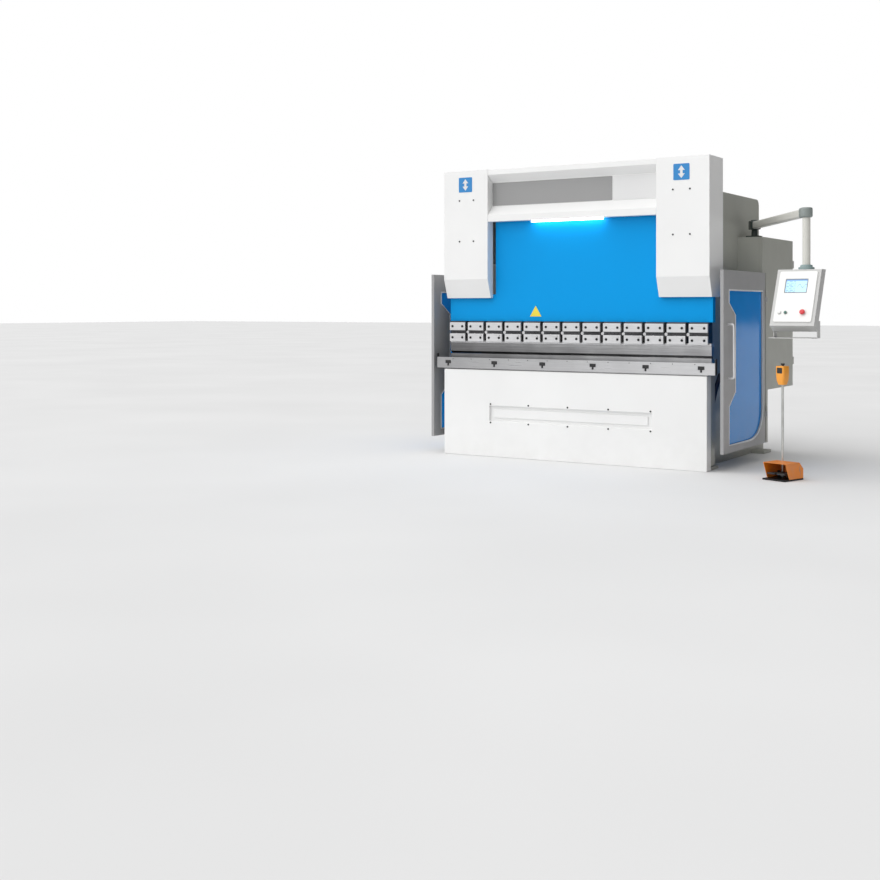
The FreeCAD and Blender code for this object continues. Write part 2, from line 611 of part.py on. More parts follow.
def make_covers():
    """Cylinder covers, the visor cover between them, their plates and the lamp."""
    outer = [("0", "0"), ("0", "cover_top - cover_break"), ("cover_rear - cover_front",
             "cover_top - cover_break"), ("cover_rear - cover_front", "cover_low - cover_break"),
             ("cover_chamfer", "cover_low - cover_break")]
    wall = "sheet_wall"
    hollow = [(wall, "0"), (wall, "cover_top - cover_break - sheet_wall"),
              ("cover_rear - cover_front + 10", "cover_top - cover_break - sheet_wall"),
              ("cover_rear - cover_front + 10", "cover_low - cover_break - 40"),
              ("cover_chamfer + sheet_wall + 14", "cover_low - cover_break - 40")]
    shells = []
    for side, sign in SIDES:
        shell = prism("cover_shell_" + side, "YZ_Plane", outer, "cover_outer - cover_inner")
        room = prism("cover_room_" + side, "YZ_Plane", hollow,
                     "cover_outer - cover_inner - 2 * sheet_wall")
        start = "cover_inner" if sign > 0 else "-cover_outer"
        place(shell, start, "bed_front + cover_front", "cover_break")
        place(room, start + " + sheet_wall", "bed_front + cover_front", "cover_break")
        inner_wall = "cover_inner - 1" if sign > 0 else "-cover_inner - sheet_wall - 1"
        passage = box("cover_passage_" + side,
                      (inner_wall, "bed_front + ram_front - 4", "cover_low - 10"),
                      ("sheet_wall + 2", "cover_rear - ram_front + 10",
                       "cover_top - sheet_wall - cover_low + 10"))
        shells.append(cut("cylinder_cover_" + side, shell, [room, passage]))
    piece("cylinder_covers", group("cylinder_covers", shells))

    # The visor cover is one folded sheet, drawn from its end.
    inside = "sheet_wall"
    back = "80"
    visor = prism("visor_sheet", "YZ_Plane",
                  [("0", "0"), (back, "0"), (back, inside), (inside, inside), (inside, "56"),
                   (back + " + sheet_wall", "139"), (back + " + sheet_wall", "visor_drop - 103"),
                   (inside, "visor_drop - 43"), (inside, "visor_drop - sheet_wall"),
                   ("318", "visor_drop - sheet_wall"), ("318", "visor_drop"), ("0", "visor_drop"),
                   ("0", "visor_drop - 45"), (back, "visor_drop - 105"), (back, "141"),
                   ("0", "58")],
                  "2 * cover_inner - 2")
    visor_low = "cover_top - visor_inset - visor_drop"
    place(visor, "1 - cover_inner", "bed_front + cover_front + 1", visor_low)
    piece("visor_cover", visor)
    panel = ("bed_front + cover_front + 78", visor_low + " + 146")
    plate = ("bed_front + cover_front - 2", "cover_top - 194")
    piece("front_plates", group("front_plates", [
        box("plain_panel_left", ("6 - cover_inner", *panel), ("cover_inner + 369", 3, 206)),
        box("plain_panel_right", (380, *panel), ("cover_inner - 386", 3, 206)),
        box("axis_plate_left", ("-cylinder_x - 71", *plate), (140, 2, 134)),
        box("axis_plate_right", ("cylinder_x - 79", *plate), (140, 2, 134))]))
    piece("lamp_bar", box("lamp_bar", (-389, "bed_front + cover_front + 45", visor_low + " - 14"),
                          (684, 34, 14)))
    screws = []
    for side, sign in SIDES:
        for column in (-83, 64):
            for level in (269, 639):
                screws.append(rod("cover_screw_%s_%d_%d" % (side, column + 83, level),
                                  ("%d * (cylinder_x + %d)" % (sign, column),
                                   "bed_front + cover_front - 4", "cover_top - %d" % level),
                                  "Y", 7.5, 4))
    return screws


# ---------------------------------------------------------------- hydraulics

def make_hydraulics():
    """Oil tank on the shelf between the frames, with its lid, motor and pump."""
    low = "frame_top - 440"
    tank = box("tank_outer", (-450, "bed_front + 1030", low), (900, 500, 400))
    hollow = box("tank_hollow", (-446, "bed_front + 1034", low + " + 4"), (892, 492, 397))
    lid = box("tank_lid", (-470, "bed_front + 1010", low + " + 400"), (940, 540, 8))
    piece("oil_tank", group("oil_tank", [cut("tank_shell", tank, [hollow]), lid]))
    motor = [rod("motor_foot", (0, "bed_front + 1280", "frame_top - 32"), "Z", 120, 30),
             rod("motor_shell", (0, "bed_front + 1280", "frame_top - 2"), "Z", 95, 190),
             rod("motor_cowl", (0, "bed_front + 1280", "frame_top + 188"), "Z", 90, 40),
             box("terminal_box", (90, "bed_front + 1235", "frame_top + 70"), (50, 90, 90))]
    piece("pump_motor", fuse("pump_motor", motor))


# ---------------------------------------------------------------- guard doors

def make_guards():
    """Side guard doors with windows and handles, their posts, hinges and pins."""
    rear = "guard_length - stile_rear"
    head = "guard_high - window_top"
    window = [("stile_front", "60"), (rear + " - 260", "70"), (rear + " - 90", "120"),
              (rear + " - 20", "210"), (rear, "330"), (rear, head), ("stile_front", head),
              ("stile_front", head + " - 100"), ("stile_front + window_step", head + " - 200"),
              ("stile_front + window_step", "490"), ("stile_front", "375")]
    leaf = [("0", "0"), ("guard_length", "0"), ("guard_length", "guard_high"),
            ("0", "guard_high")]
    pins = []
    posts = []
    for side, sign in SIDES:
        inner = "guard_x - guard_thick" if sign > 0 else "-guard_x"
        panel = prism("guard_leaf_" + side, "YZ_Plane", leaf, "guard_thick", [window])
        place(panel, inner, "bed_front", "guard_low")
        axis_x = "%d * (guard_x + hinge_out)" % sign
        axis_y = "bed_front + guard_length + hinge_behind"
        solids = [panel]
        bores = []
        post_solids = []
        post_bores = []
        for name, level in (("low", "hinge_low"), ("high", "hinge_high")):
            tag = "%s_%s" % (name, side)
            start = "guard_x - 4" if sign > 0 else "-guard_x - hinge_out"
            solids.append(rod("leaf_knuckle_" + tag, (axis_x, axis_y, level), "Z",
                              "knuckle_radius", "knuckle_high"))
            solids.append(box("leaf_tab_" + tag, (start, axis_y + " - 30", level),
                              ("hinge_out + 4", 30, "knuckle_high")))
            bores.append(rod("leaf_bore_" + tag, (axis_x, axis_y, level + " - 1"), "Z",
                             "pin_radius + rod_gap", "knuckle_high + 2"))
            above = level + " + knuckle_high + slide_gap"
            post_solids.append(rod("post_knuckle_" + tag, (axis_x, axis_y, above), "Z",
                                   "knuckle_radius", "knuckle_high"))
            post_solids.append(box("post_tab_" + tag, (start, axis_y, above),
                                   ("hinge_out + 4", 30, "knuckle_high")))
            post_bores.append(rod("post_bore_" + tag, (axis_x, axis_y, above + " - 1"), "Z",
                                  "pin_radius", "knuckle_high + 2"))
            pins.append(rod("hinge_pin_" + tag, (axis_x, axis_y, level + " - 6"), "Z",
                            "pin_radius", "2 * knuckle_high + 12"))
        piece("door_frame_" + side,
              cut("door_frame_" + side, fuse("door_solid_" + side, solids), bores))
        post_x = "guard_x - guard_thick" if sign > 0 else "-guard_x"
        post_solids.append(box("post_" + side, (post_x, axis_y + " + hinge_behind", "guard_low"),
                               ("guard_thick", "post_run", "guard_high")))
        for level in (420, 1420):
            arm_x = "frame_outer" if sign > 0 else "guard_thick - guard_x"
            post_solids.append(box("post_arm_%d_%s" % (level, side),
                                   (arm_x, axis_y + " + 20", level),
                                   ("guard_x - guard_thick - frame_outer", 40, 40)))
        posts.append(cut("door_post_" + side, fuse("post_solid_" + side, post_solids),
                         post_bores))
        glass = prism("glass_" + side, "YZ_Plane", window, "glass_thick")
        place(glass, "%s + (guard_thick - glass_thick) / 2" % inner, "bed_front", "guard_low")
        piece("door_glass_" + side, glass)
        grip_x = "guard_x + 38" if sign > 0 else "-guard_x - 58"
        foot_x = "guard_x" if sign > 0 else "-guard_x - 40"
        handle = [box("grip_" + side, (grip_x, "bed_front + 92", 745), (20, 24, 460)),
                  box("grip_low_" + side, (foot_x, "bed_front + 92", 745), (40, 24, 22)),
                  box("grip_high_" + side, (foot_x, "bed_front + 92", 1183), (40, 24, 22))]
        piece("door_handle_" + side, fuse("door_handle_" + side, handle))
    piece("door_posts", group("door_posts", posts))
    return pins


# ---------------------------------------------------------------- cabinet

def make_cabinet():
    """Control cabinet on the right frame, its door, latch, hinges and gear plate."""
    y = "cabinet_front"
    deep = "cabinet_deep - cabinet_door_thick - 1"
    outer = box("cabinet_outer", ("frame_outer", y, "cabinet_low"),
                (deep, "cabinet_length", "cabinet_top - cabinet_low"))
    room = box("cabinet_room", ("frame_outer + sheet_wall", y + " + sheet_wall",
                                "cabinet_low + sheet_wall"),
               ("cabinet_deep", "cabinet_length - 2 * sheet_wall",
                "cabinet_top - cabinet_low - 2 * sheet_wall"))
    piece("cabinet_shell", cut("cabinet_shell", outer, [room]))
    gear = [box("mounting_plate", ("frame_outer + sheet_wall", y + " + 60", "cabinet_low + 80"),
                (4, "cabinet_length - 120", "cabinet_top - cabinet_low - 160"))]
    for i in range(3):
        gear.append(box("gear_%d" % i, ("frame_outer + sheet_wall + 4", y + " + 110 + %d" % (i * 240),
                                        "cabinet_low + 800"), (110, 180, 260)))
    for i in range(2):
        gear.append(box("gear_row_%d" % i, ("frame_outer + sheet_wall + 4", y + " + 110",
                                            "cabinet_low + 250 + %d" % (i * 250)), (70, 660, 110)))
    piece("control_gear", group("control_gear", gear))
    door = box("cabinet_leaf", ("cabinet_face", y, "cabinet_low"),
               ("cabinet_door_thick", "cabinet_length - 10", "cabinet_top - cabinet_low"))
    latch_y = y + " + 45"
    latch_z = "cabinet_low + latch_rise"
    hole = rod("latch_hole", ("cabinet_face - 1", latch_y, latch_z), "X",
               "latch_radius + rod_gap", "cabinet_door_thick + 2")
    piece("cabinet_door", cut("cabinet_door", door, [hole]))
    spindle = rod("latch_spindle", ("cabinet_face + 2", latch_y, latch_z), "X", "latch_radius",
                  "cabinet_door_thick + 6")
    lever = box("latch_lever", ("cabinet_face + cabinet_door_thick + 4", latch_y + " - 12",
                                latch_z + " - 90"), (10, 24, 110))
    piece("cabinet_latch", fuse("cabinet_latch", [spindle, lever]))
    hinges = []
    for level in (200, 1100):
        barrel = rod("cabinet_barrel_%d" % level,
                     ("frame_outer + cabinet_deep - 1", y + " + cabinet_length + 2",
                      "cabinet_low + %d" % level), "Z", "knuckle_radius - 1", 70)
        strap = box("cabinet_strap_%d" % level,
                    ("cabinet_face - 31", y + " + cabinet_length", "cabinet_low + %d" % level),
                    ("cabinet_door_thick + 30", 3, 70))
        hinges.append(fuse("cabinet_hinge_%d" % level, [barrel, strap]))
    return hinges


# ---------------------------------------------------------------- pendant

def make_pendant():
    """Swing arm on the cabinet, drop tube and the operator's case with its keys."""
    y = "arm_y"
    base = box("bracket_base", ("arm_x - 62", y + " - 50", "cabinet_top"), (118, 100, 12))
    post = rod("bracket_post", ("arm_x", y, "cabinet_top + 12"), "Z", 26,
               "arm_z - arm_section / 2 - 6 - cabinet_top - 12 - slide_gap")
    pin = rod("bracket_pin", ("arm_x", y, "cabinet_top + 12"), "Z", "arm_pin",
              "arm_z + arm_section / 2 + 10 - cabinet_top - 12")
    piece("pendant_bracket", fuse("pendant_bracket", [base, post, pin]))

    # The arm is drawn along +X from its pivot and then turned to its rest angle.
    block = box("arm_block", (-45, -45, "-arm_section / 2 - 6"), (100, 90, "arm_section + 12"))
    tube = box("arm_tube", (50, "-arm_section / 2", "-arm_section / 2"),
               ("arm_length - 90", "arm_section", "arm_section"))
    bore = box("arm_bore", (60, "arm_tube_wall - arm_section / 2", "arm_tube_wall - arm_section / 2"),
               ("arm_length - 110", "arm_section - 2 * arm_tube_wall",
                "arm_section - 2 * arm_tube_wall"))
    hole = rod("arm_hole", (0, 0, "-arm_section"), "Z", "arm_pin + rod_gap", "2 * arm_section")
    arm = cut("pendant_arm", fuse("arm_solid", [block, tube]), [bore, hole])
    place(arm, "arm_x", y, "arm_z", "arm_angle")
    piece("pendant_arm", arm)
    knee = fuse("elbow_solid", [
        rod("elbow_round", ("arm_length", 0, "-arm_section / 2 - 8"), "Z", 46, "arm_section + 16"),
        box("elbow_neck", ("arm_length - 60", -40, "-arm_section / 2 - 8"),
            (60, 80, "arm_section + 16"))])
    socket = box("elbow_socket", ("arm_length - 61", "-arm_section / 2", "-arm_section / 2"),
                 (21, "arm_section", "arm_section"))
    seat = rod("elbow_seat", ("arm_length", 0, "-arm_section / 2 - 9"), "Z", "elbow_stub + rod_gap", 50)
    elbow = cut("pendant_elbow", knee, [socket, seat])
    place(elbow, "arm_x", y, "arm_z", "arm_angle")
    piece("pendant_elbow", elbow)

    drop = fuse("drop_solid", [
        rod("drop_pipe", ("tip_x", "tip_y", "elbow_low - drop_length"), "Z", "drop_radius",
            "drop_length - slide_gap"),
        rod("drop_stub", ("tip_x", "tip_y", "elbow_low - slide_gap"), "Z", "elbow_stub", 40),
        rod("drop_flange", ("tip_x", "tip_y", "case_top"), "Z", "flange_radius", "flange_thick")])
    piece("drop_tube", drop)

    front = [("0", "0"), ("case_slope", "case_high"), ("case_slope + case_deep", "case_high"),
             ("case_deep * 0.8", "-case_deep * 0.4")]
    case = prism("case_block", "YZ_Plane", front, "case_wide")
    place(case, "case_x - case_wide / 2", "case_front", "case_low")
    tilt = math.degrees(math.atan2(size("case_slope"), size("case_high")))
    face = Rotation(Vector(1, 0, 0), -tilt)
    # Pieces on the sloping front: local X across, local Z up the face, local -Y outwards.
    def on_face(item):
        """Lean a piece that was drawn upright onto the case's sloping front."""
        item.Placement = Placement(Vector(), face)
        return place(item, "case_x", "case_front", "case_low")

    screen_x = "-screen_wide / 2 - 6"
    bezel_tools = [box("bezel_window", (screen_x, "-bezel_thick - 2", "screen_rise"),
                       ("screen_wide", "bezel_thick + 4", "screen_high"))]
    plate = box("bezel_plate", ("bezel_margin - case_wide / 2", "-bezel_thick", 30),
                ("case_wide - 2 * bezel_margin", "bezel_thick", "case_high"))
    for x in (-104, -58, 72):
        bezel_tools.append(rod("key_hole_%d" % x, (x, "-bezel_thick - 2", "key_rise"), "Y",
                               "button_radius - 3 + rod_gap", "bezel_thick + 4"))
    piece("pendant_bezel", on_face(cut("pendant_bezel", plate, bezel_tools)))
    piece("pendant_screen", on_face(group("pendant_screen", [
        box("screen_plate", (screen_x, "3 - bezel_thick", "screen_rise"),
            ("screen_wide", "bezel_thick - 3", "screen_high"))])))
    wells = []
    for name, x, radius, reach in (("start_button", -104, "button_radius", 8),
                                   ("pause_button", -58, "button_radius", 8),
                                   ("pendant_stop", 72, "stop_radius", 22)):
        stem = rod(name + "_stem", (x, "-bezel_thick - 4", "key_rise"), "Y", "button_radius - 3",
                   "bezel_thick + 18")
        head = rod(name + "_head", (x, "-bezel_thick - 4 - %d" % reach, "key_rise"), "Y", radius,
                   reach)
        wells.append(rod(name + "_well", (x, -2, "key_rise"), "Y", "button_radius - 3 + rod_gap",
                         24))
        piece(name, on_face(fuse(name, [stem, head])))
    well = on_face(fuse("case_wells", wells))
    piece("pendant_case", cut("pendant_case", case, [well]))

    tray_low = "case_low - tray_drop"
    tray_front = "case_front - 30"
    left = "case_x - case_wide / 2"
    tray = [box("tray_shelf", (left, tray_front, tray_low), ("case_wide", 200, 5)),
            box("tray_side", (left, tray_front + " + 125", tray_low), (5, 75, "tray_drop + 35")),
            box("tray_side_far", ("case_x + case_wide / 2 - 5", tray_front + " + 125", tray_low),
                (5, 75, "tray_drop + 35"))]
    clear = prism("tray_clear", "YZ_Plane", front, "case_wide + 20")
    place(clear, left + " - 10", "case_front", "case_low")
    piece("pendant_tray", cut("pendant_tray", fuse("tray_solid", tray), [clear]))


# ---------------------------------------------------------------- pedal station

def make_station():
    """Foot pedal station: base, hood, two treadles, post and stop box."""
    def set_down(item):
        """Turn a piece drawn about the station's middle and put it on the floor."""
        return place(item, "bed_length / 2 + station_out", "bed_front + station_y", 0,
                     "station_angle")

    base = box("station_plate", ("-station_wide / 2", "-station_deep / 2", 0),
               ("station_wide", "station_deep", "plate_thick"))
    pedal_pin = rod("treadle_pin", ("12 - station_wide / 2", "treadle_y", "treadle_z"), "X",
                    "pin_radius", "station_wide - 24")
    ears = [box("ear_%d" % i, (x, "treadle_y - 15", "plate_thick"), (8, 30, "treadle_z + 5"))
            for i, x in enumerate(("12 - station_wide / 2", "-4", "station_wide / 2 - 20"))]
    piece("station_base", set_down(fuse("station_base", [base, pedal_pin] + ears)))
    back = "station_deep / 2"
    front = "-station_deep / 2"
    shell = prism("hood_outer", "YZ_Plane",
                  [(front + " + 60", "plate_thick"), (back, "plate_thick"),
                   (back, "hood_high - 50"), (back + " - 50", "hood_high"),
                   (front + " + 10", "hood_high")], "station_wide")
    place(shell, "-station_wide / 2", 0, 0)
    room = prism("hood_inner", "YZ_Plane",
                 [(front + " - 10", "plate_thick - 1"),
                  (back + " - hood_wall", "plate_thick - 1"),
                  (back + " - hood_wall", "hood_high - 50 - hood_wall"),
                  (back + " - 50 - hood_wall", "hood_high - hood_wall"),
                  (front + " - 10", "hood_high - hood_wall")],
                 "station_wide - 2 * hood_wall")
    place(room, "hood_wall - station_wide / 2", 0, 0)
    post_hole = rod("hood_post_hole", ("post_x", "post_y", 60), "Z", "post_radius", 100)
    piece("pedal_hood", set_down(cut("pedal_hood", shell, [room, post_hole])))
    width = "station_wide / 2 - 28"
    for side, sign in SIDES:
        x = "6" if sign > 0 else "-(%s) - 6" % width
        pedal = prism("treadle_plate_" + side, "YZ_Plane",
                      [("-95", "treadle_z + 4"), ("treadle_y - 10", "treadle_z - 6"),
                       ("treadle_y + 10", "treadle_z - 6"), ("treadle_y + 10", "treadle_z + 6"),
                       ("treadle_y - 10", "treadle_z + 6"), ("-95", "treadle_z + 16")], width)
        place(pedal, x, 0, 0)
        bore = rod("treadle_bore_" + side, (x + " - 1", "treadle_y", "treadle_z"), "X",
                   "pin_radius + rod_gap", width + " + 2")
        barrel = rod("treadle_barrel_" + side, (x, "treadle_y", "treadle_z"), "X",
                     "knuckle_radius", width)
        piece("treadle_" + side,
              set_down(cut("treadle_" + side, fuse("treadle_solid_" + side, [pedal, barrel]),
                           [bore])))
    tube = rod("post_tube", ("post_x", "post_y", "plate_thick"), "Z", "post_radius",
               "post_top - plate_thick")
    flange = rod("post_flange", ("post_x", "post_y", "plate_thick"), "Z", "post_flange", 6)
    piece("station_post", set_down(fuse("station_post", [tube, flange])))
    case = box("post_case", ("post_x - post_box_wide / 2", "post_y - post_box_wide / 2",
                             "post_top"), ("post_box_wide", "post_box_wide", "post_box_high"))
    key_place = ("post_x + 10", "post_y - 10")
    well = rod("post_well", (*key_place, "post_top + post_box_high - 24"), "Z",
               "10 + rod_gap", 30)
    piece("stop_box", set_down(cut("stop_box", case, [well])))
    stem = rod("post_stem", (*key_place, "post_top + post_box_high - 12"), "Z", 10, 20)
    head = rod("post_head", (*key_place, "post_top + post_box_high + 8"), "Z", 15, 12)
    piece("station_stop", set_down(fuse("station_stop", [stem, head])))


# ---------------------------------------------------------------- back gauge

def make_back_gauge():
    """Rails behind the lower beam, carriage, lifting beam and two stop fingers."""
    rear = "bed_front + beam_rear"
    rail_top = "gauge_rail_low + gauge_rail_high"
    beam_front = "bed_front + 610"
    room = "gauge_post + 2 * slide_gap"
    rails = []
    cars = []
    sleeves = []
    slots = []
    for side, sign in SIDES:
        x = "%d * gauge_x" % sign
        post_x = x + " - gauge_post / 2"
        rails.append(box("gauge_rail_" + side, (x + " - 40", rear, "gauge_rail_low"),
                         (80, 760, "gauge_rail_high")))
        cars.append(box("car_" + side, (x + " - 50", "bed_front + 560", rail_top + " + slide_gap"),
                        (100, 180, 30)))
        cars.append(box("car_post_" + side, (post_x, beam_front + " + 50", rail_top + " + 20"),
                        ("gauge_post", "gauge_post", 200)))
        sleeves.append(box("sleeve_" + side, (x + " - 40", beam_front + " + 30",
                                              "gauge_beam_low"), (80, "gauge_post + 40", 70)))
        slots.append(box("sleeve_room_" + side,
                         (post_x + " - slide_gap", beam_front + " + 50 - slide_gap",
                          "gauge_beam_low - 1"), (room, room, 72)))
    cars.append(box("car_bar", ("-gauge_x", "bed_front + 700", rail_top + " + 5"),
                    ("2 * gauge_x", 40, 25)))
    piece("gauge_rails", group("gauge_rails", rails))
    piece("gauge_carriage", fuse("gauge_carriage", cars))
    beam = box("gauge_bar", ("-gauge_beam_half", beam_front, "gauge_beam_low"),
               ("2 * gauge_beam_half", "50 - slide_gap", 70))
    piece("gauge_beam", cut("gauge_beam", fuse("gauge_beam_solid", [beam] + sleeves), slots))
    for side, sign in SIDES:
        x = "%d * finger_x" % sign
        z = "gauge_beam_low + 70 + slide_gap"
        saddle = box("saddle_" + side, (x + " - 45", beam_front + " - 10", z), (90, 70, 30))
        lip = box("saddle_lip_" + side, (x + " - 45", beam_front + " - 20 - slide_gap",
                                         "gauge_beam_low + 20"), (90, 20, "80 + slide_gap"))
        neck = box("finger_neck_" + side, (x + " - 18", "bed_front + 300", z + " + 4"),
                   (36, 310, 24))
        tip = box("finger_tip_" + side, (x + " - 30", "bed_front + 262", z + " + 6"), (60, 60, 40))
        piece("gauge_finger_" + side, fuse("gauge_finger_" + side, [saddle, lip, neck, tip]))


def make_hose():
    """Hydraulic hose beside the right frame, from the lower beam up to a gland."""
    points = [Vector(0, 0, 0), Vector(0, 80, 30), Vector(0, 150, 110), Vector(0, 240, 240),
              Vector(0, 330, 330)]
    edges = []
    start = points[0]
    for before, corner, after in zip(points, points[1:], points[2:]):
        first = (before - corner)
        second = (after - corner)
        turn = math.pi - first.getAngle(second)
        trim = 0.45 * min(first.Length, second.Length)
        bend = trim / math.tan(turn / 2)
        entry = corner + first.normalize() * trim
        leave = corner + second.normalize() * trim
        middle_way = (entry + leave) * 0.5 - corner
        centre_distance = math.hypot(bend, trim)
        apex = corner + middle_way.normalize() * (centre_distance - bend)
        edges.append(Part.LineSegment(start, entry).toShape())
        edges.append(Part.Arc(entry, apex, leave).toShape())
        start = leave
    edges.append(Part.LineSegment(start, points[-1]).toShape())
    path = Part.Wire(edges)
    section = Part.Wire([Part.Circle(points[0], points[1] - points[0],
                                     size("hose_radius")).toShape()])
    hose = doc.addObject("Part::Feature", "side_hose")
    hose.Shape = path.makePipeShell([section], True, False)
    hose.Placement = Placement(Vector(size("frame_outer") + 40,
                                      size("bed_front") + 240, 430), Rotation())
    piece("side_hose", hose)


tool_count = int(size("bed_length") // size("clamp_pitch"))
screws = []
make_frame()
screws += make_bed()
make_ram()
make_cylinders()
screws += make_covers()
piece("frame_screws", group("frame_screws", screws))
make_hydraulics()
hinges = make_guards()
hinges += make_cabinet()
piece("hinge_parts", group("hinge_parts", hinges))
make_pendant()
make_station()
make_back_gauge()
make_hose()
doc.recompute()

faults = [item.Name for item in doc.Objects if {"Invalid", "Error"} & set(item.State)]
for item in pieces:
    if item.Shape.isNull() or not item.Shape.isValid() or not item.Shape.Solids:
        faults.append(item.Label)
if faults:
    raise RuntimeError("these objects failed: " + ", ".join(faults))

os.makedirs("parts", exist_ok=True)
for item in pieces:
    item.Shape.exportStep("parts/" + item.Label + ".step")
print(len(pieces), "sub-parts written")
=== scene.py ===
import math

import bpy
import numpy as np
from bpy.props import FloatProperty, FloatVectorProperty, IntProperty, PointerProperty
from bpy.types import Operator, Panel, PropertyGroup
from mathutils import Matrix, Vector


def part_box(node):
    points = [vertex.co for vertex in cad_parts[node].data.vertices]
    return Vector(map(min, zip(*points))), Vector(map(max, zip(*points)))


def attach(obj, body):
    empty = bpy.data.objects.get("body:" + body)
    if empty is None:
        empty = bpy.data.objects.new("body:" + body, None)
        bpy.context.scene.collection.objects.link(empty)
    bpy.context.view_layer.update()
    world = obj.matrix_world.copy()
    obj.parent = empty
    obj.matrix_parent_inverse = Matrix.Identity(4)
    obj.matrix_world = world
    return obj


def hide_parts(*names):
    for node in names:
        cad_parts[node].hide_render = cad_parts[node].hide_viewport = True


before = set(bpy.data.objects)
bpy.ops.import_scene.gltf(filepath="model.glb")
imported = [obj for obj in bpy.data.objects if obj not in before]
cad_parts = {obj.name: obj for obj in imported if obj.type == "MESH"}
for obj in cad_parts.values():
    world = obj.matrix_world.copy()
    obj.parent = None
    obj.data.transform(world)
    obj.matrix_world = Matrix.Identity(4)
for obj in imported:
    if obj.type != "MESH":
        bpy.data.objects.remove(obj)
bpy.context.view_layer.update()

bl_info = {
    "name": "Press Brake Finish",
    "version": (1, 0, 0),
    "blender": (4, 5, 0),
    "location": "3D View > Sidebar > Press Brake",
    "description": "Finishes a hydraulic press brake: paint, tooling, guards, pendant and stage",
    "category": "Object",
}

# Which model axes a flat shape's own (across, up, through) directions run along.
RUNS = {"X": (1, 2, 0), "Y": (0, 2, 1), "Z": (0, 1, 2)}
MIRROR = {"left": -1.0, "right": 1.0}


# ---------------------------------------------------------------- settings

def length(name, text, default):
    """One length setting, in metres."""
    return FloatProperty(name=name, description=text, default=default, unit="LENGTH",
                         subtype="DISTANCE", precision=4)


def colour(name, text, default):
    """One colour setting."""
    return FloatVectorProperty(name=name, description=text, default=default, subtype="COLOR",
                               size=3, min=0.0, max=1.0)


class BrakeSizes(PropertyGroup):
    """Sizes of the finishing pieces."""
    clamp_count: IntProperty(name="Clamps", description="Tool clamps along the ram", default=13)
    clamp_pitch: length("Clamp pitch", "Middle to middle of the tool clamps", 0.192)
    clamp_width: length("Clamp width", "Width of one tool clamp", 0.163)
    plate_height: length("Plate height", "Height of a clamp's front plates", 0.072)
    screw_spread: length("Screw spread", "Clamp's middle to its screws", 0.052)
    screw_radius: length("Screw radius", "Radius of the clamp screws' heads", 0.011)
    edge: length("Edge", "Radius on the edges of the machined blocks", 0.002)
    fold: length("Fold", "Radius on the folded sheet's edges", 0.004)
    trim_width: length("Trim width", "Seal round the guard windows", 0.012)
    rib_pitch: length("Rib pitch", "Ribs of the treadles", 0.017)
    fin_count: IntProperty(name="Fins", description="Cooling fins round the motor", default=36)
    fin_depth: length("Fin depth", "Depth of the motor's cooling fins", 0.012)


class BrakeColours(PropertyGroup):
    """Colours of the paints, metals and plastics."""
    white: colour("White", "Covers and bed", (0.84, 0.84, 0.835))
    grey: colour("Grey", "Frames and cabinet", (0.40, 0.405, 0.365))
    door: colour("Door grey", "Guard door leaves", (0.34, 0.34, 0.345))
    blue: colour("Blue", "Ram", (0.0, 0.31, 0.74))
    glass: colour("Window", "Tinted guard windows", (0.0, 0.28, 0.72))
    steel: colour("Tool steel", "Punch, die and table", (0.52, 0.52, 0.53))
    bright: colour("Bright steel", "Tool clamps", (0.66, 0.66, 0.67))
    rail: colour("Rail", "Front support rail", (0.62, 0.62, 0.63))
    black: colour("Black", "Oxide-black screws and plastics", (0.012, 0.012, 0.013))
    arm: colour("Arm", "Pendant arm and drop tube", (0.62, 0.615, 0.57))
    elbow: colour("Elbow", "Cast elbow of the arm", (0.23, 0.26, 0.25))
    case: colour("Case", "Pendant case", (0.86, 0.86, 0.84))
    orange: colour("Orange", "Pedal hood", (0.87, 0.25, 0.012))
    amber: colour("Amber", "Stop box on the post", (0.92, 0.37, 0.04))
    red: colour("Red", "Stop buttons", (0.66, 0.02, 0.03))
    yellow: colour("Yellow", "Triangular plate", (0.85, 0.68, 0.05))


class BrakeStage(PropertyGroup):
    """Camera and light."""
    lens: FloatProperty(name="Lens", description="Focal length", default=51.3, unit="CAMERA")
    ambient: FloatProperty(name="Ambient", description="Light from every side", default=0.07)
    key: FloatProperty(name="Key", description="Soft light from the front left", default=1.95)


# ---------------------------------------------------------------- shapes

def rounded(half_across, half_up, radius, steps=5):
    """Rounded rectangle about the origin: on each corner a quarter circle of the radius, its
    centre the radius inside both sides, and a point on the straight just past each end."""
    r = min(radius, half_across * 0.98, half_up * 0.98)
    turn = np.linspace(0.0, np.pi / 2, steps)
    angle = np.concatenate([turn + k * np.pi / 2 for k in range(4)])
    across = np.repeat([1.0, -1.0, -1.0, 1.0], steps)
    up = np.repeat([1.0, 1.0, -1.0, -1.0], steps)
    return np.stack([across * (half_across - r) + r * np.cos(angle),
                     up * (half_up - r) + r * np.sin(angle)], axis=1)


def circle(radius, sides=32):
    """Circle about the origin: radius times cosine and sine of evenly spaced angles."""
    angle = np.linspace(0.0, 2 * np.pi, sides, endpoint=False)
    return radius * np.stack([np.cos(angle), np.sin(angle)], axis=1)


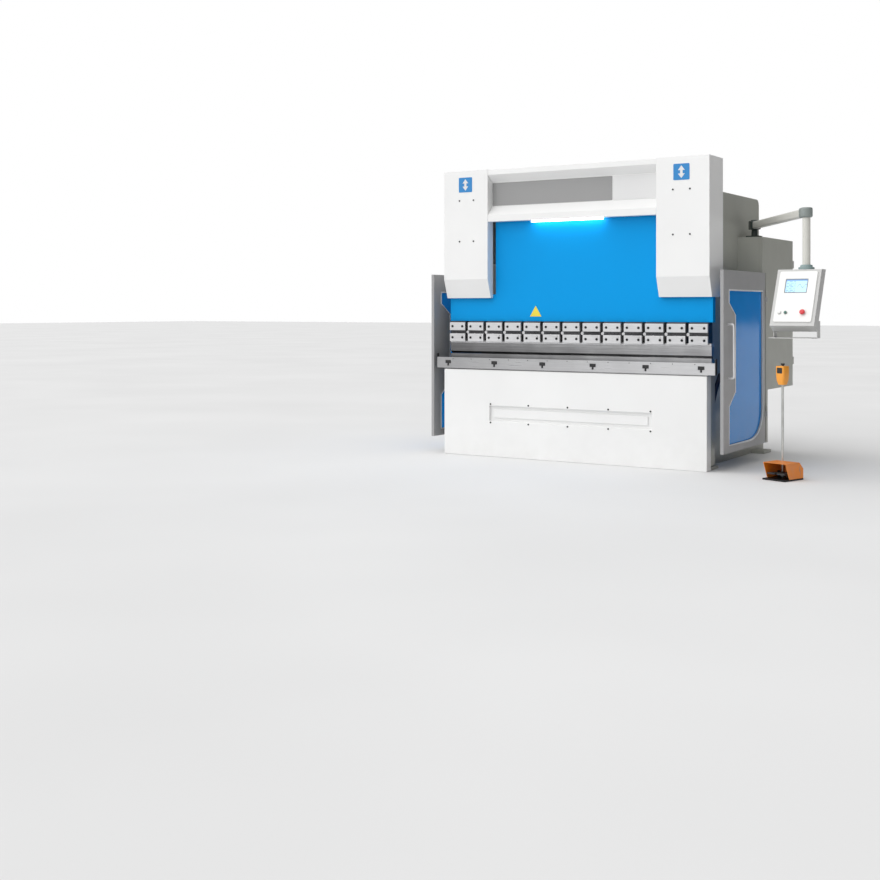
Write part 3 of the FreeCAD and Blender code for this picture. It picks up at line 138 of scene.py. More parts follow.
def loft(rings, ring_closed=False):
    """Surface over a grid: point (i, j) is point j of ring i, and each ring closes on itself.
    The ends are flat faces, unless the last ring joins the first."""
    count, around = rings.shape[:2]
    rows = np.arange(count if ring_closed else count - 1)
    i, j = np.meshgrid(rows, np.arange(around), indexing="ij")
    after, beside = (i + 1) % count, (j + 1) % around
    quads = np.stack([i * around + j, i * around + beside, after * around + beside,
                      after * around + j], axis=-1).reshape(-1, 4)
    caps = np.stack([np.arange(around)[::-1], (count - 1) * around + np.arange(around)])
    if ring_closed:
        caps = caps[:0]
    points = rings.reshape(-1, 3)
    fans = np.stack([np.broadcast_to(caps[:, :1], caps[:, 2:].shape), caps[:, 1:-1], caps[:, 2:]],
                    axis=-1).reshape(-1, 3)
    sides = np.concatenate([quads[:, [0, 1, 2]], quads[:, [0, 2, 3]], fans])
    a, b, c = points[sides[:, 0]], points[sides[:, 1]], points[sides[:, 2]]
    if np.einsum("ij,ij->", a - points.mean(0), np.cross(b - points.mean(0), c - points.mean(0))) < 0:
        quads, caps = quads[:, ::-1], caps[:, ::-1]
    return points, quads, caps


def stacked(loops, level, axis="Z"):
    """Rings of a surface: each flat loop stands at its own level along the axis."""
    order = list(RUNS[axis])
    rings = np.empty(loops.shape[:2] + (3,))
    rings[..., order[:2]] = loops
    rings[..., order[2]] = np.asarray(level)[:, None]
    return rings


def block(low, high, through="Y", radius=0.004, edge=0.002):
    """Rounded block: rounded rectangles stacked along one axis. Near each end they stand in by
    edge times one minus the sine of an angle that runs from 0 to 90 degrees."""
    low, high = np.asarray(low, float), np.asarray(high, float)
    order = list(RUNS[through])
    half = (high - low)[order] / 2
    edge = min(edge, 0.45 * half.min())
    angle = np.linspace(0.0, np.pi / 2, 4)
    inset = np.concatenate([[edge * 2.2], edge * (1 - np.sin(angle))])
    rise = np.concatenate([[0.0], edge * (1 - np.cos(angle))])
    inset = np.concatenate([inset, inset[::-1]])
    level = np.concatenate([rise - half[2], half[2] - rise[::-1]])
    flat = np.stack([rounded(half[0] - d, half[1] - d, max(radius - d, radius * 0.3))
                     for d in inset])
    return loft(stacked(flat, level, through) + (low + high) / 2)


def turned(profile, centre, axis="Z", sides=32, ring_closed=False):
    """Turned solid: each (radius, height) pair of the profile is a circle round the axis."""
    profile = np.asarray(profile, float)
    loops = profile[:, None, :1] * circle(1.0, sides)
    return loft(stacked(loops, profile[:, 1], axis) + np.asarray(centre, float), ring_closed)


def swept(section, path, across):
    """Section carried along a flat path: section x runs along the across direction and section
    y along the tangent's cross product with it."""
    path = np.asarray(path, float)
    across = np.asarray(across, float)
    tangent = np.gradient(path, axis=0)
    tangent /= np.linalg.norm(tangent, axis=1, keepdims=True)
    side = np.cross(tangent, across)
    return loft(path[:, None, :] + section[None, :, :1] * across
                + section[None, :, 1:] * side[:, None, :])


def bent(corners, radius, steps=7):
    """Path through corners: each inner corner is a quadratic curve from the radius before it
    to the radius after it."""
    corners = np.asarray(corners, float)
    middle = corners[1:-1]
    before, after = corners[:-2] - middle, corners[2:] - middle
    start = middle + before / np.linalg.norm(before, axis=1, keepdims=True) * radius
    finish = middle + after / np.linalg.norm(after, axis=1, keepdims=True) * radius
    t = np.linspace(0.0, 1.0, steps)[None, :, None]
    curve = ((1 - t) ** 2 * start[:, None] + 2 * t * (1 - t) * middle[:, None]
             + t ** 2 * finish[:, None])
    return np.concatenate([corners[:1], curve.reshape(-1, 3), corners[-1:]])


def frame_band(outer, inner, low, high, edge=0.002):
    """Flat band between two loops in the side plane, with a rounded edge along both: a closed
    cross-section whose points stand between the loops, from the low to the high face."""
    toward = inner - outer
    toward /= np.linalg.norm(toward, axis=1, keepdims=True)
    loops = [outer, outer + toward * edge, inner - toward * edge, inner, inner,
             inner - toward * edge, outer + toward * edge, outer]
    depth = [high - edge, high, high, high - edge, low + edge, low, low, low + edge]
    rings = np.stack([np.concatenate([np.full((len(loop), 1), x), loop], axis=1)
                      for loop, x in zip(loops, depth)])
    return loft(rings, ring_closed=True)


def socket_screw(radius, height, centre, axis="Y", facing=-1.0):
    """Socket-head screw: a turned head whose last rings are a hexagon, its radius the flat's
    distance over the cosine of the angle from the nearest flat."""
    sides = 24
    angle = np.linspace(0.0, 2 * np.pi, sides, endpoint=False)
    hexagon = 1.0 / np.cos((angle + np.pi / 6) % (np.pi / 3) - np.pi / 6)
    reach = np.stack([np.ones(sides), np.ones(sides), np.full(sides, 0.9), np.full(sides, 0.62),
                      0.46 * hexagon, 0.46 * hexagon]) * radius
    level = np.array([0.0, 0.78, 1.0, 1.0, 0.94, 0.35]) * height * facing
    loops = reach[..., None] * circle(1.0, sides)
    return loft(stacked(loops, level, axis) + np.asarray(centre, float))


def repeated(shape, offsets):
    """Copies of a shape: its points are added to each offset and its faces renumbered."""
    points, quads, caps = shape
    offsets = np.asarray(offsets, float).reshape(-1, 3)
    first = (np.arange(len(offsets)) * len(points))[:, None, None]
    return ((points[None] + offsets[:, None]).reshape(-1, 3),
            (quads[None] + first).reshape(-1, quads.shape[1]),
            (caps[None] + first).reshape(-1, caps.shape[1]))


def moved(shape, origin=(0.0, 0.0, 0.0), turn=0.0, lean=0.0):
    """Shape leant about X, then turned about Z, both in degrees, then moved to the origin."""
    points, quads, caps = shape
    c, s = math.cos(math.radians(lean)), math.sin(math.radians(lean))
    tip = np.array([[1, 0, 0], [0, c, -s], [0, s, c]])
    c, s = math.cos(math.radians(turn)), math.sin(math.radians(turn))
    spin = np.array([[c, -s, 0], [s, c, 0], [0, 0, 1]])
    return points @ (spin @ tip).T + np.asarray(origin, float), quads, caps


def make(name, shapes, finish, body="root", stands_for=()):
    """One mesh object from closed shapes, with its finish and the body that it rides on."""
    faces, points, start = [], [], 0
    for corners, quads, caps in shapes:
        faces += (quads + start).tolist() + (caps + start).tolist()
        points.append(corners)
        start += len(corners)
    mesh = bpy.data.meshes.new(name)
    mesh.from_pydata(np.concatenate(points).tolist(), [], faces)
    mesh.shade_smooth()
    mesh.set_sharp_from_angle(angle=math.radians(32))
    mesh.materials.append(bpy.data.materials["finish_" + finish])
    mesh.update()
    made = bpy.data.objects.new(name, mesh)
    bpy.context.collection.objects.link(made)
    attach(made, body)
    if stands_for:
        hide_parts(*stands_for)
    return made


def soften(names, width):
    """Joins a kept node's faces, drops the lines across its flats and rounds its edges."""
    for name in names:
        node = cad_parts[name]
        weld = node.modifiers.new("join", "WELD")
        weld.merge_threshold = 0.00002
        flats = node.modifiers.new("flats", "DECIMATE")
        flats.decimate_type = "DISSOLVE"
        flats.angle_limit = math.radians(1.0)
        bevel = node.modifiers.new("edges", "BEVEL")
        bevel.limit_method = "ANGLE"
        bevel.angle_limit = math.radians(50)
        bevel.width = width
        bevel.segments = 2


# ---------------------------------------------------------------- finishes

def add(tree, kind, inputs=(), **settings):
    """A shader node with its settings; inputs are sockets to link or values to set."""
    made = tree.nodes.new("ShaderNode" + kind)
    for name, value in settings.items():
        setattr(made, name, value)
    for key, value in dict(inputs).items():
        if isinstance(value, bpy.types.NodeSocket):
            tree.links.new(value, made.inputs[key])
        else:
            made.inputs[key].default_value = value
    return made


def blend(tree, factor, first, second):
    """Colour mixed from the first to the second by the factor."""
    return add(tree, "Mix", {0: factor, 6: first, 7: second}, data_type="RGBA").outputs[2]


def ranged(tree, value, low, high, to_low, to_high):
    """Value carried from one range to another."""
    return add(tree, "MapRange", {0: value, 1: low, 2: high, 3: to_low, 4: to_high}).outputs[0]


def times(tree, first, second):
    """Product of two numbers."""
    return add(tree, "Math", {0: first, 1: second}, operation="MULTIPLY").outputs[0]


def noise(tree, vector, scale, detail=2.0):
    """Noise read at a vector."""
    return add(tree, "TexNoise", {"Vector": vector, "Scale": scale, "Detail": detail}).outputs[0]


def new_group(name, inputs, outputs):
    """Empty node group with named inputs and outputs, and its two end nodes' sockets."""
    tree = bpy.data.node_groups.new(name, "ShaderNodeTree")
    for label, kind, default in inputs:
        socket = tree.interface.new_socket(label, in_out="INPUT", socket_type="NodeSocket" + kind)
        socket.default_value = default
    for label, kind in outputs:
        tree.interface.new_socket(label, in_out="OUTPUT", socket_type="NodeSocket" + kind)
    return tree, tree.nodes.new("NodeGroupInput").outputs, tree.nodes.new("NodeGroupOutput").inputs


def paint_film_group():
    """Sprayed paint: broad drift of its shade, dust that thickens towards the floor, patches
    of lower gloss and a fine orange-peel height."""
    tree, given, out = new_group(
        "paint_film", [("Colour", "Color", (1, 1, 1, 1)), ("Shade", "Color", (1, 1, 1, 1)),
                       ("Drift", "Float", 0.5), ("Dust", "Float", 0.2)],
        [("Colour", "Color"), ("Roughness", "Float"), ("Height", "Float")])
    place = add(tree, "TexCoord").outputs["Object"]
    broad = times(tree, ranged(tree, noise(tree, place, 1.1), 0.35, 0.65, 0.0, 1.0), given["Drift"])
    toned = blend(tree, broad, given["Colour"], given["Shade"])
    up = add(tree, "SeparateXYZ", {0: place}).outputs["Z"]
    low = ranged(tree, up, 0.0, 0.55, 1.0, 0.0)
    specks = ranged(tree, noise(tree, place, 9.0, 6.0), 0.4, 0.75, 0.0, 1.0)
    dust = times(tree, times(tree, low, specks), given["Dust"])
    tree.links.new(blend(tree, dust, toned, (0.33, 0.31, 0.28, 1)), out["Colour"])
    tree.links.new(ranged(tree, noise(tree, place, 6.0, 4.0), 0.3, 0.7, 0.34, 0.48), out["Roughness"])
    tree.links.new(noise(tree, place, 380.0, 1.0), out["Height"])
    return tree


def ground_steel_group():
    """Ground metal: fine streaks along the grinding direction, read from noise whose place is
    stretched by the Grain input, that change tone, gloss and height together."""
    tree, given, out = new_group(
        "ground_steel", [("Colour", "Color", (1, 1, 1, 1)), ("Dark", "Color", (0, 0, 0, 1)),
                         ("Grain", "Vector", (4, 300, 300))],
        [("Colour", "Color"), ("Roughness", "Float"), ("Height", "Float")])
    place = add(tree, "TexCoord").outputs["Object"]
    along = add(tree, "VectorMath", {0: place, 1: given["Grain"]}, operation="MULTIPLY").outputs[0]
    streak = ranged(tree, noise(tree, along, 1.0, 5.0), 0.3, 0.7, 0.0, 1.0)
    stain = ranged(tree, noise(tree, place, 5.0, 4.0), 0.35, 0.7, 0.0, 1.0)
    tone = add(tree, "Math", {0: times(tree, streak, 0.6), 1: times(tree, stain, 0.4)},
               operation="ADD").outputs[0]
    tree.links.new(blend(tree, tone, given["Dark"], given["Colour"]), out["Colour"])
    tree.links.new(ranged(tree, tone, 0.0, 1.0, 0.42, 0.25), out["Roughness"])
    tree.links.new(streak, out["Height"])
    return tree


def rub_marks_group():
    """Rubbed patches: stretched noise cut to thin marks, inside broad patches that handling or
    feet reach, where the finish gives way to what is under it."""
    tree, given, out = new_group(
        "rub_marks", [("Colour", "Color", (1, 1, 1, 1)), ("Bare", "Color", (0.3, 0.3, 0.3, 1)),
                      ("Amount", "Float", 0.5), ("Scale", "Float", 20.0)],
        [("Colour", "Color"), ("Mask", "Float")])
    place = add(tree, "TexCoord").outputs["Object"]
    long_way = add(tree, "VectorMath", {0: place, 1: (1.0, 3.0, 0.6)}, operation="MULTIPLY").outputs[0]
    marks = ranged(tree, noise(tree, long_way, given["Scale"], 8.0), 0.56, 0.66, 0.0, 1.0)
    patch = ranged(tree, noise(tree, place, 4.0), 0.45, 0.65, 0.0, 1.0)
    mask = times(tree, times(tree, marks, patch), given["Amount"])
    tree.links.new(blend(tree, mask, given["Colour"], given["Bare"]), out["Colour"])
    tree.links.new(mask, out["Mask"])
    return tree


def cast_grain_group():
    """Moulded or cast skin: cell distance and noise added for height, noise for gloss."""
    tree, given, out = new_group("cast_grain", [("Scale", "Float", 300.0)],
                                 [("Roughness", "Float"), ("Height", "Float")])
    place = add(tree, "TexCoord").outputs["Object"]
    cells = add(tree, "TexVoronoi", {"Vector": place, "Scale": given["Scale"]}).outputs["Distance"]
    grain = noise(tree, place, given["Scale"], 2.0)
    tree.links.new(add(tree, "Math", {0: cells, 1: grain}, operation="ADD").outputs[0], out["Height"])
    tree.links.new(ranged(tree, noise(tree, place, 12.0, 3.0), 0.3, 0.7, 0.38, 0.55), out["Roughness"])
    return tree


def rgba(value, scale=1.0):
    """A colour setting as red, green, blue and one, made lighter or darker by the scale."""
    return tuple(min(1.0, part * scale) for part in value) + (1.0,)


def new_finish(name):
    """Material with an empty tree, a Principled shader and its output. Its own prefix keeps it
    apart from the frame's plain materials, which have names like these."""
    material = bpy.data.materials.new("finish_" + name)
    material.use_nodes = True
    tree = material.node_tree
    tree.nodes.clear()
    shader = add(tree, "BsdfPrincipled")
    tree.links.new(shader.outputs[0], add(tree, "OutputMaterial").inputs[0])
    return tree, shader


def effect(tree, group, inputs):
    """A shared effect placed in a material with its own values."""
    made = add(tree, "Group", node_tree=bpy.data.node_groups[group])
    for key, value in inputs.items():
        if isinstance(value, bpy.types.NodeSocket):
            tree.links.new(value, made.inputs[key])
        else:
            made.inputs[key].default_value = value
    return made.outputs


def raised(tree, shader, height, distance, strength=0.5):
    """Height carried to the shader's normal by a bump node."""
    bump = add(tree, "Bump", {"Height": height, "Distance": distance, "Strength": strength})
    tree.links.new(bump.outputs[0], shader.inputs["Normal"])


def paint(name, colour_now, drift=0.35, dust=0.25, coat=0.15, worn=0.0, specular=0.5):
    """Satin paint of one colour over primer."""
    tree, shader = new_finish(name)
    film = effect(tree, "paint_film", {"Colour": rgba(colour_now), "Shade": rgba(colour_now, 0.9),
                                       "Drift": drift, "Dust": dust})
    base = film["Colour"]
    if worn:
        rubbed = effect(tree, "rub_marks", {"Colour": base, "Bare": (0.25, 0.22, 0.2, 1),
                                            "Amount": worn, "Scale": 26.0})
        base = rubbed["Colour"]
    tree.links.new(base, shader.inputs["Base Color"])
    tree.links.new(film["Roughness"], shader.inputs["Roughness"])
    shader.inputs["Specular IOR Level"].default_value = specular
    shader.inputs["Coat Weight"].default_value = coat
    shader.inputs["Coat Roughness"].default_value = 0.25
    raised(tree, shader, film["Height"], 0.0002, 0.35)


def metal(name, colour_now, grain, dark=0.6, metallic=1.0, depth=0.00012, left=1.0):
    """Ground or drawn metal of one colour, with its grain along the given direction. The left value
    paints shade: it scales the colour at the left end of the machine, rising to full at the right end."""
    tree, shader = new_finish(name)
    steel = effect(tree, "ground_steel", {"Colour": rgba(colour_now), "Dark": rgba(colour_now, dark),
                                          "Grain": grain})
    place = add(tree, "TexCoord").outputs["Object"]
    # Painted shade: the colour darkens from the right end towards the left end of the machine.
    across = add(tree, "SeparateXYZ", {0: place}).outputs["X"]
    tone = add(tree, "CombineColor", {key: ranged(tree, across, -1.2, 1.1, left, 1.0)
                                      for key in range(3)}).outputs[0]
    left_end_painted_shade = add(tree, "Mix", {0: 1.0, 6: steel["Colour"], 7: tone}, data_type="RGBA",
                 blend_type="MULTIPLY")
    tree.links.new(left_end_painted_shade.outputs[2], shader.inputs["Base Color"])
    tree.links.new(steel["Roughness"], shader.inputs["Roughness"])
    shader.inputs["Metallic"].default_value = metallic
    raised(tree, shader, steel["Height"], depth)


def plastic(name, colour_now, scale=300.0, coat=0.0, glow=0.0, depth=0.0002):
    """Moulded plastic, rubber or casting of one colour, with a fine grain."""
    tree, shader = new_finish(name)
    film = effect(tree, "paint_film", {"Colour": rgba(colour_now), "Shade": rgba(colour_now, 0.85),
                                       "Drift": 0.4, "Dust": 0.15})
    grain = effect(tree, "cast_grain", {"Scale": scale})
    tree.links.new(film["Colour"], shader.inputs["Base Color"])
    tree.links.new(grain["Roughness"], shader.inputs["Roughness"])
    shader.inputs["Coat Weight"].default_value = coat
    if glow:
        tree.links.new(film["Colour"], shader.inputs["Emission Color"])
        shader.inputs["Emission Strength"].default_value = glow
    raised(tree, shader, grain["Height"], depth, 0.4)


def window_finish(name, colour_now):
    """Tinted clear sheet: colour a little deeper towards the floor, faint wipe streaks, and a faint painted
    glow of its own blue.
    """
    tree, shader = new_finish(name)
    film = effect(tree, "paint_film", {"Colour": rgba(colour_now), "Shade": rgba(colour_now, 0.8),
                                       "Drift": 0.6, "Dust": 0.1})
    wipe = effect(tree, "ground_steel", {"Grain": (3.0, 14.0, 2.0)})
    tree.links.new(film["Colour"], shader.inputs["Base Color"])
    tree.links.new(ranged(tree, wipe["Roughness"], 0.25, 0.42, 0.03, 0.14), shader.inputs["Roughness"])
    # Painted glow: the sheet gives off a little light of its own colour, though it is no lamp.
    tree.links.new(film["Colour"], shader.inputs["Emission Color"])
    shader.inputs["Emission Strength"].default_value = 0.10
    shader.inputs["Specular IOR Level"].default_value = 0.2
    shader.inputs["Transmission Weight"].default_value = 0.45
    shader.inputs["IOR"].default_value = 1.45
    raised(tree, shader, film["Height"], 0.00003, 0.1)


def display_finish(name):
    """Lit display: a header band, rows of plain fields and a plotted line on a pale ground."""
    tree, shader = new_finish(name)
    where = add(tree, "UVMap", uv_map="face").outputs[0]
    axes = add(tree, "SeparateXYZ", {0: where}).outputs
    rows = add(tree, "TexBrick", {"Vector": where, "Color1": (0.10, 0.22, 0.50, 1),
                                  "Color2": (0.30, 0.50, 0.80, 1), "Mortar": (0.40, 0.64, 0.95, 1),
                                  "Scale": 1.0, "Mortar Size": 0.03, "Brick Width": 0.2,
                                  "Row Height": 0.125}, offset=0.3)
    fields = times(tree, ranged(tree, axes["X"], 0.05, 0.06, 0.0, 1.0),
                   ranged(tree, axes["X"], 0.46, 0.47, 1.0, 0.0))
    ground = blend(tree, times(tree, fields, 0.7), (0.42, 0.66, 0.97, 1), rows.outputs[0])
    wave = add(tree, "Math", {0: times(tree, axes["X"], 22.0)}, operation="SINE").outputs[0]
    line = add(tree, "Math", {0: times(tree, wave, 0.12), 1: 0.5}, operation="ADD").outputs[0]
    gap = add(tree, "Math", {0: add(tree, "Math", {0: axes["Y"], 1: line},
                                    operation="SUBTRACT").outputs[0]}, operation="ABSOLUTE").outputs[0]
    plot = times(tree, ranged(tree, gap, 0.0, 0.025, 1.0, 0.0),
                 ranged(tree, axes["X"], 0.53, 0.54, 0.0, 1.0))
    drawn = blend(tree, plot, ground, (0.02, 0.05, 0.2, 1))
    header = ranged(tree, axes["Y"], 0.86, 0.87, 0.0, 1.0)
    shown = blend(tree, header, drawn, (0.16, 0.3, 0.62, 1))
    tree.links.new(shown, shader.inputs["Base Color"])
    tree.links.new(shown, shader.inputs["Emission Color"])
    shader.inputs["Emission Strength"].default_value = 0.45
    shader.inputs["Roughness"].default_value = 0.12


def dress(finish, *names):
    """Gives kept nodes their finish."""
    for name in names:
        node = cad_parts[name]
        if not node.material_slots:
            node.data.materials.append(bpy.data.materials["finish_" + finish])
        for place in node.material_slots:
            place.material = bpy.data.materials["finish_" + finish]


def brake():
    """The scene's settings."""
    return bpy.context.scene.brake_sizes


def clamp_row(size):
    """Places of the tool clamps along the ram, evenly spaced about the middle."""
    steps = np.arange(size.clamp_count) - (size.clamp_count - 1) / 2
    return np.stack([steps * size.clamp_pitch, steps * 0, steps * 0], axis=1)


# ---------------------------------------------------------------- operators

class BRAKE_OT_finishes(Operator):
    """Build the shared effects and every paint, metal, glass and plastic"""
    bl_idname = "brake.finishes"
    bl_label = "Finishes"

    def execute(self, context):
        tint = context.scene.brake_colours
        paint_film_group()
        ground_steel_group()
        rub_marks_group()
        cast_grain_group()
        paint("white_satin", tint.white, drift=0.4, dust=0.06)
        paint("frame_grey", tint.grey, dust=0.5)
        paint("door_grey", tint.door)
        paint("ram_blue", tint.blue, drift=0.2, dust=0.0, coat=0.0, specular=0.1)
        # The left panel's own grey, darkened further to paint the shade in the visor's recess.
        paint("panel_grey_and_recess_shade", (0.30, 0.30, 0.30), drift=0.6)
        paint("panel_white", (0.74, 0.74, 0.74), drift=0.5)
        paint("plate_blue", (0.01, 0.22, 0.55), drift=0.2)
        paint("plate_yellow", tint.yellow, drift=0.4, worn=0.3)
        paint("cylinder_black", (0.05, 0.052, 0.055))
        paint("tank_grey", (0.30, 0.32, 0.33), worn=0.2)
        paint("motor_blue", (0.05, 0.10, 0.17))
        paint("bracket_green", (0.020, 0.034, 0.028), coat=0.3)
        paint("arm_grey", tint.arm)
        paint("elbow_grey", tint.elbow)
        paint("flange_grey", (0.24, 0.32, 0.32))
        paint("case_white", tint.case, drift=0.5)
        paint("case_grey", (0.55, 0.55, 0.54), drift=0.5)
        paint("hood_orange", tint.orange, drift=0.9, worn=0.75)
        paint("trim_pale", (0.70, 0.71, 0.72))
        # left=0.4 paints shade: punch, die and table are darker towards the machine's left end.
        metal("tool_steel", tint.steel, (3.0, 200.0, 260.0), dark=0.55, left=0.4)
        metal("clamp_bright", tint.bright, (9.0, 300.0, 160.0), dark=0.8, metallic=0.75)
        # Dark steel of the clamp bodies, made darker still to paint the shade in the groove between the
        # front plates.
        metal("clamp_dark_and_groove_shade", (0.10, 0.10, 0.105), (9.0, 300.0, 160.0), dark=0.4)
        # left=0.6 paints shade: rail and gauge beam are darker towards the machine's left end.
        metal("rail_steel", tint.rail, (2.0, 220.0, 220.0), dark=0.8, metallic=0.6, left=0.6)
        metal("handle_satin", (0.80, 0.80, 0.81), (160.0, 160.0, 3.0), dark=0.8)
        metal("rod_chrome", (0.86, 0.86, 0.88), (60.0, 60.0, 2.0), dark=0.92)
        metal("zinc_plate", (0.62, 0.62, 0.60), (14.0, 14.0, 14.0), dark=0.75)
        metal("black_oxide", (0.030, 0.030, 0.032), (40.0, 40.0, 40.0), dark=0.6, metallic=0.6)
        plastic("black_plastic", tint.black)
        plastic("gear_plastic", (0.10, 0.11, 0.12))
        plastic("red_cap", tint.red, coat=0.6)
        plastic("white_cap", (0.80, 0.80, 0.78), coat=0.5)
        plastic("green_cap", (0.03, 0.13, 0.10), coat=0.5)
        plastic("amber_case", tint.amber, scale=220.0, coat=0.1)
        plastic("hose_rubber", (0.006, 0.010, 0.035), scale=160.0)
        plastic("lamp_lens", (0.95, 0.97, 1.0), scale=120.0, glow=9.0)
        plastic("sight_glass", (0.55, 0.42, 0.12), coat=0.8)
        window_finish("window_blue", tint.glass)
        display_finish("display")
        return {"FINISHED"}


class BRAKE_OT_housings(Operator):
    """Dress the kept frames, bed, covers, cabinet, tank and gauge"""
    bl_idname = "brake.housings"
    bl_label = "Frames and Housings"

    def execute(self, context):
        dress("white_satin", "bed_apron", "cylinder_covers", "visor_cover")
        dress("frame_grey", "side_frame_left", "side_frame_right", "frame_ties", "lower_beam",
              "cabinet_shell", "cabinet_door", "door_posts", "gauge_rails")
        dress("ram_blue", "ram_plate")
        dress("tool_steel", "die_table", "die_rail", "upper_punch", "gauge_carriage")
        dress("rail_steel", "front_rail", "gauge_beam")
        dress("black_plastic", "rail_fittings", "station_stop")
        dress("clamp_bright", "clamp_wedges", "gauge_finger_left", "gauge_finger_right")
        dress("cylinder_black", "ram_cylinders")
        dress("rod_chrome", "piston_rods")
        dress("plate_yellow", "triangle_plate")
        dress("tank_grey", "oil_tank")
        dress("zinc_plate", "hinge_parts", "cabinet_latch")
        dress("gear_plastic", "control_gear")
        dress("bracket_green", "pendant_bracket")
        dress("case_grey", "pendant_case", "pendant_tray")
        dress("hood_orange", "pedal_hood")
        dress("black_oxide", "station_base")
        dress("hose_rubber", "side_hose")
        size = brake()
        soften(["bed_apron", "cylinder_covers", "visor_cover", "cabinet_door", "oil_tank"], size.fold)
        soften(["side_frame_left", "side_frame_right", "frame_ties", "ram_plate", "door_posts",
                "die_table", "lower_beam", "pendant_bracket"], size.edge)
        soften(["rail_fittings", "clamp_wedges", "pedal_hood"], 0.0015)
        soften(["pendant_case"], 0.008)
        return {"FINISHED"}


class BRAKE_OT_clamps(Operator):
    """Build the tool clamps, their front plates and screws, and the lip that holds the punch"""
    bl_idname = "brake.clamps"
    bl_label = "Tool Clamps"

    def execute(self, context):
        size = brake()
        low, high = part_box("tool_clamps")
        ram_low = high[2]
        front = low[1]
        along = clamp_row(size)
        half = size.clamp_width / 2
        back = block((-half, front + 0.019, ram_low - 0.173), (half, front + 0.112, ram_low),
                     "X", 0.003, size.edge)
        upper = block((-half, front, ram_low - 0.012 - size.plate_height),
                      (half, front + 0.021, ram_low - 0.012), "Y", 0.004, size.edge)
        lower = block((-half, front, ram_low - 0.185), (half, front + 0.021, ram_low - 0.113),
                      "Y", 0.004, size.edge)
        lip = block((low[0], -0.796, ram_low - 0.198), (high[0], -0.724, ram_low - 0.173), "X",
                    0.003, size.edge)
        # The bodies' near-black finish also paints the shade in the groove between the upper and lower
        # plates.
        make("clamp_bodies", [repeated(back, along)], "clamp_dark_and_groove_shade", "ram")
        make("clamp_plates", [repeated(upper, along), repeated(lower, along), lip],
             "clamp_bright", "ram", ("tool_clamps",))
        head = socket_screw(size.screw_radius, 0.004, (0, front, 0))
        places = [along + (side * size.screw_spread, 0, ram_low + level)
                  for side in (-1, 1) for level in (-0.048, -0.149)]
        stub = socket_screw(0.005, 0.004, (0, front + 0.020, 0))
        stubs = [along + ((k - 1.5) * 0.034, 0, ram_low - 0.098) for k in range(4)]
        make("clamp_screw_heads", [repeated(head, np.concatenate(places)),
                                   repeated(stub, np.concatenate(stubs))],
             "black_oxide", "ram", ("clamp_screws",))
        return {"FINISHED"}


class BRAKE_OT_front(Operator):
    """Build the screws, lamp and plates on the front of the machine"""
    bl_idname = "brake.front"
    bl_label = "Front Fittings"

    def execute(self, context):
        size = brake()
        low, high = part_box("cylinder_covers")
        cover = np.array([[side * (1.036 + x), low[1], high[2] - z]
                          for side in (-1, 1) for x in (-0.083, 0.064) for z in (0.269, 0.639)])
        apron = np.array([[x * 0.382, -0.9, z] for x in range(-2, 3) for z in (0.469, 0.304)])
        set_screws = clamp_row(size) + (0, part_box("front_rail")[0][1], 0.867)
        screw = socket_screw(0.0075, 0.004, (0, 0, 0))
        make("front_screws", [repeated(screw, cover), repeated(screw, apron),
                              repeated(socket_screw(0.0035, 0.003, (0, 0, 0)), set_screws)],
             "black_oxide", "root", ("frame_screws",))
        low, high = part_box("lamp_bar")
        make("lamp_strip", [block(low, high, "X", 0.006, 0.002)], "lamp_lens", "root",
             ("lamp_bar",))
        front, thick = -0.803, 0.003
        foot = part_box("visor_cover")[0][2] + 0.146
        top = foot + 0.206
        for name, left, right, finish, covered in (
                # Left panel: its grey also paints the shade inside the visor's recess.
                ("panel_left", -0.800, 0.375, "panel_grey_and_recess_shade", ("front_plates",)),
                ("panel_right", 0.380, 0.800, "panel_white", ())):
            panel = block((left, front, foot), (right, front + thick, top), "Y", 0.006, 0.001)
            make(name, [panel], finish, "root", covered)
        plates, marks = [], []
        arrow = np.array([[0, 52], [30, 14], [11, 14], [11, -14], [30, -14], [0, -52], [-30, -14],
                          [-11, -14], [-11, 14], [-30, 14]]) / 1000
        for x in (-1.037, 1.027):
            middle = np.array([x, -0.882, 2.442])
            plates.append(block(middle - (0.070, 0.001, 0.067), middle + (0.070, 0.001, 0.067), "Y",
                                0.008, 0.0006))
            marks.append(loft(stacked(np.stack([arrow, arrow]), (-0.0016, -0.0008), "Y") + middle))
        make("axis_plates", plates, "plate_blue", "root")
        make("axis_arrows", marks, "panel_white", "root")
        return {"FINISHED"}


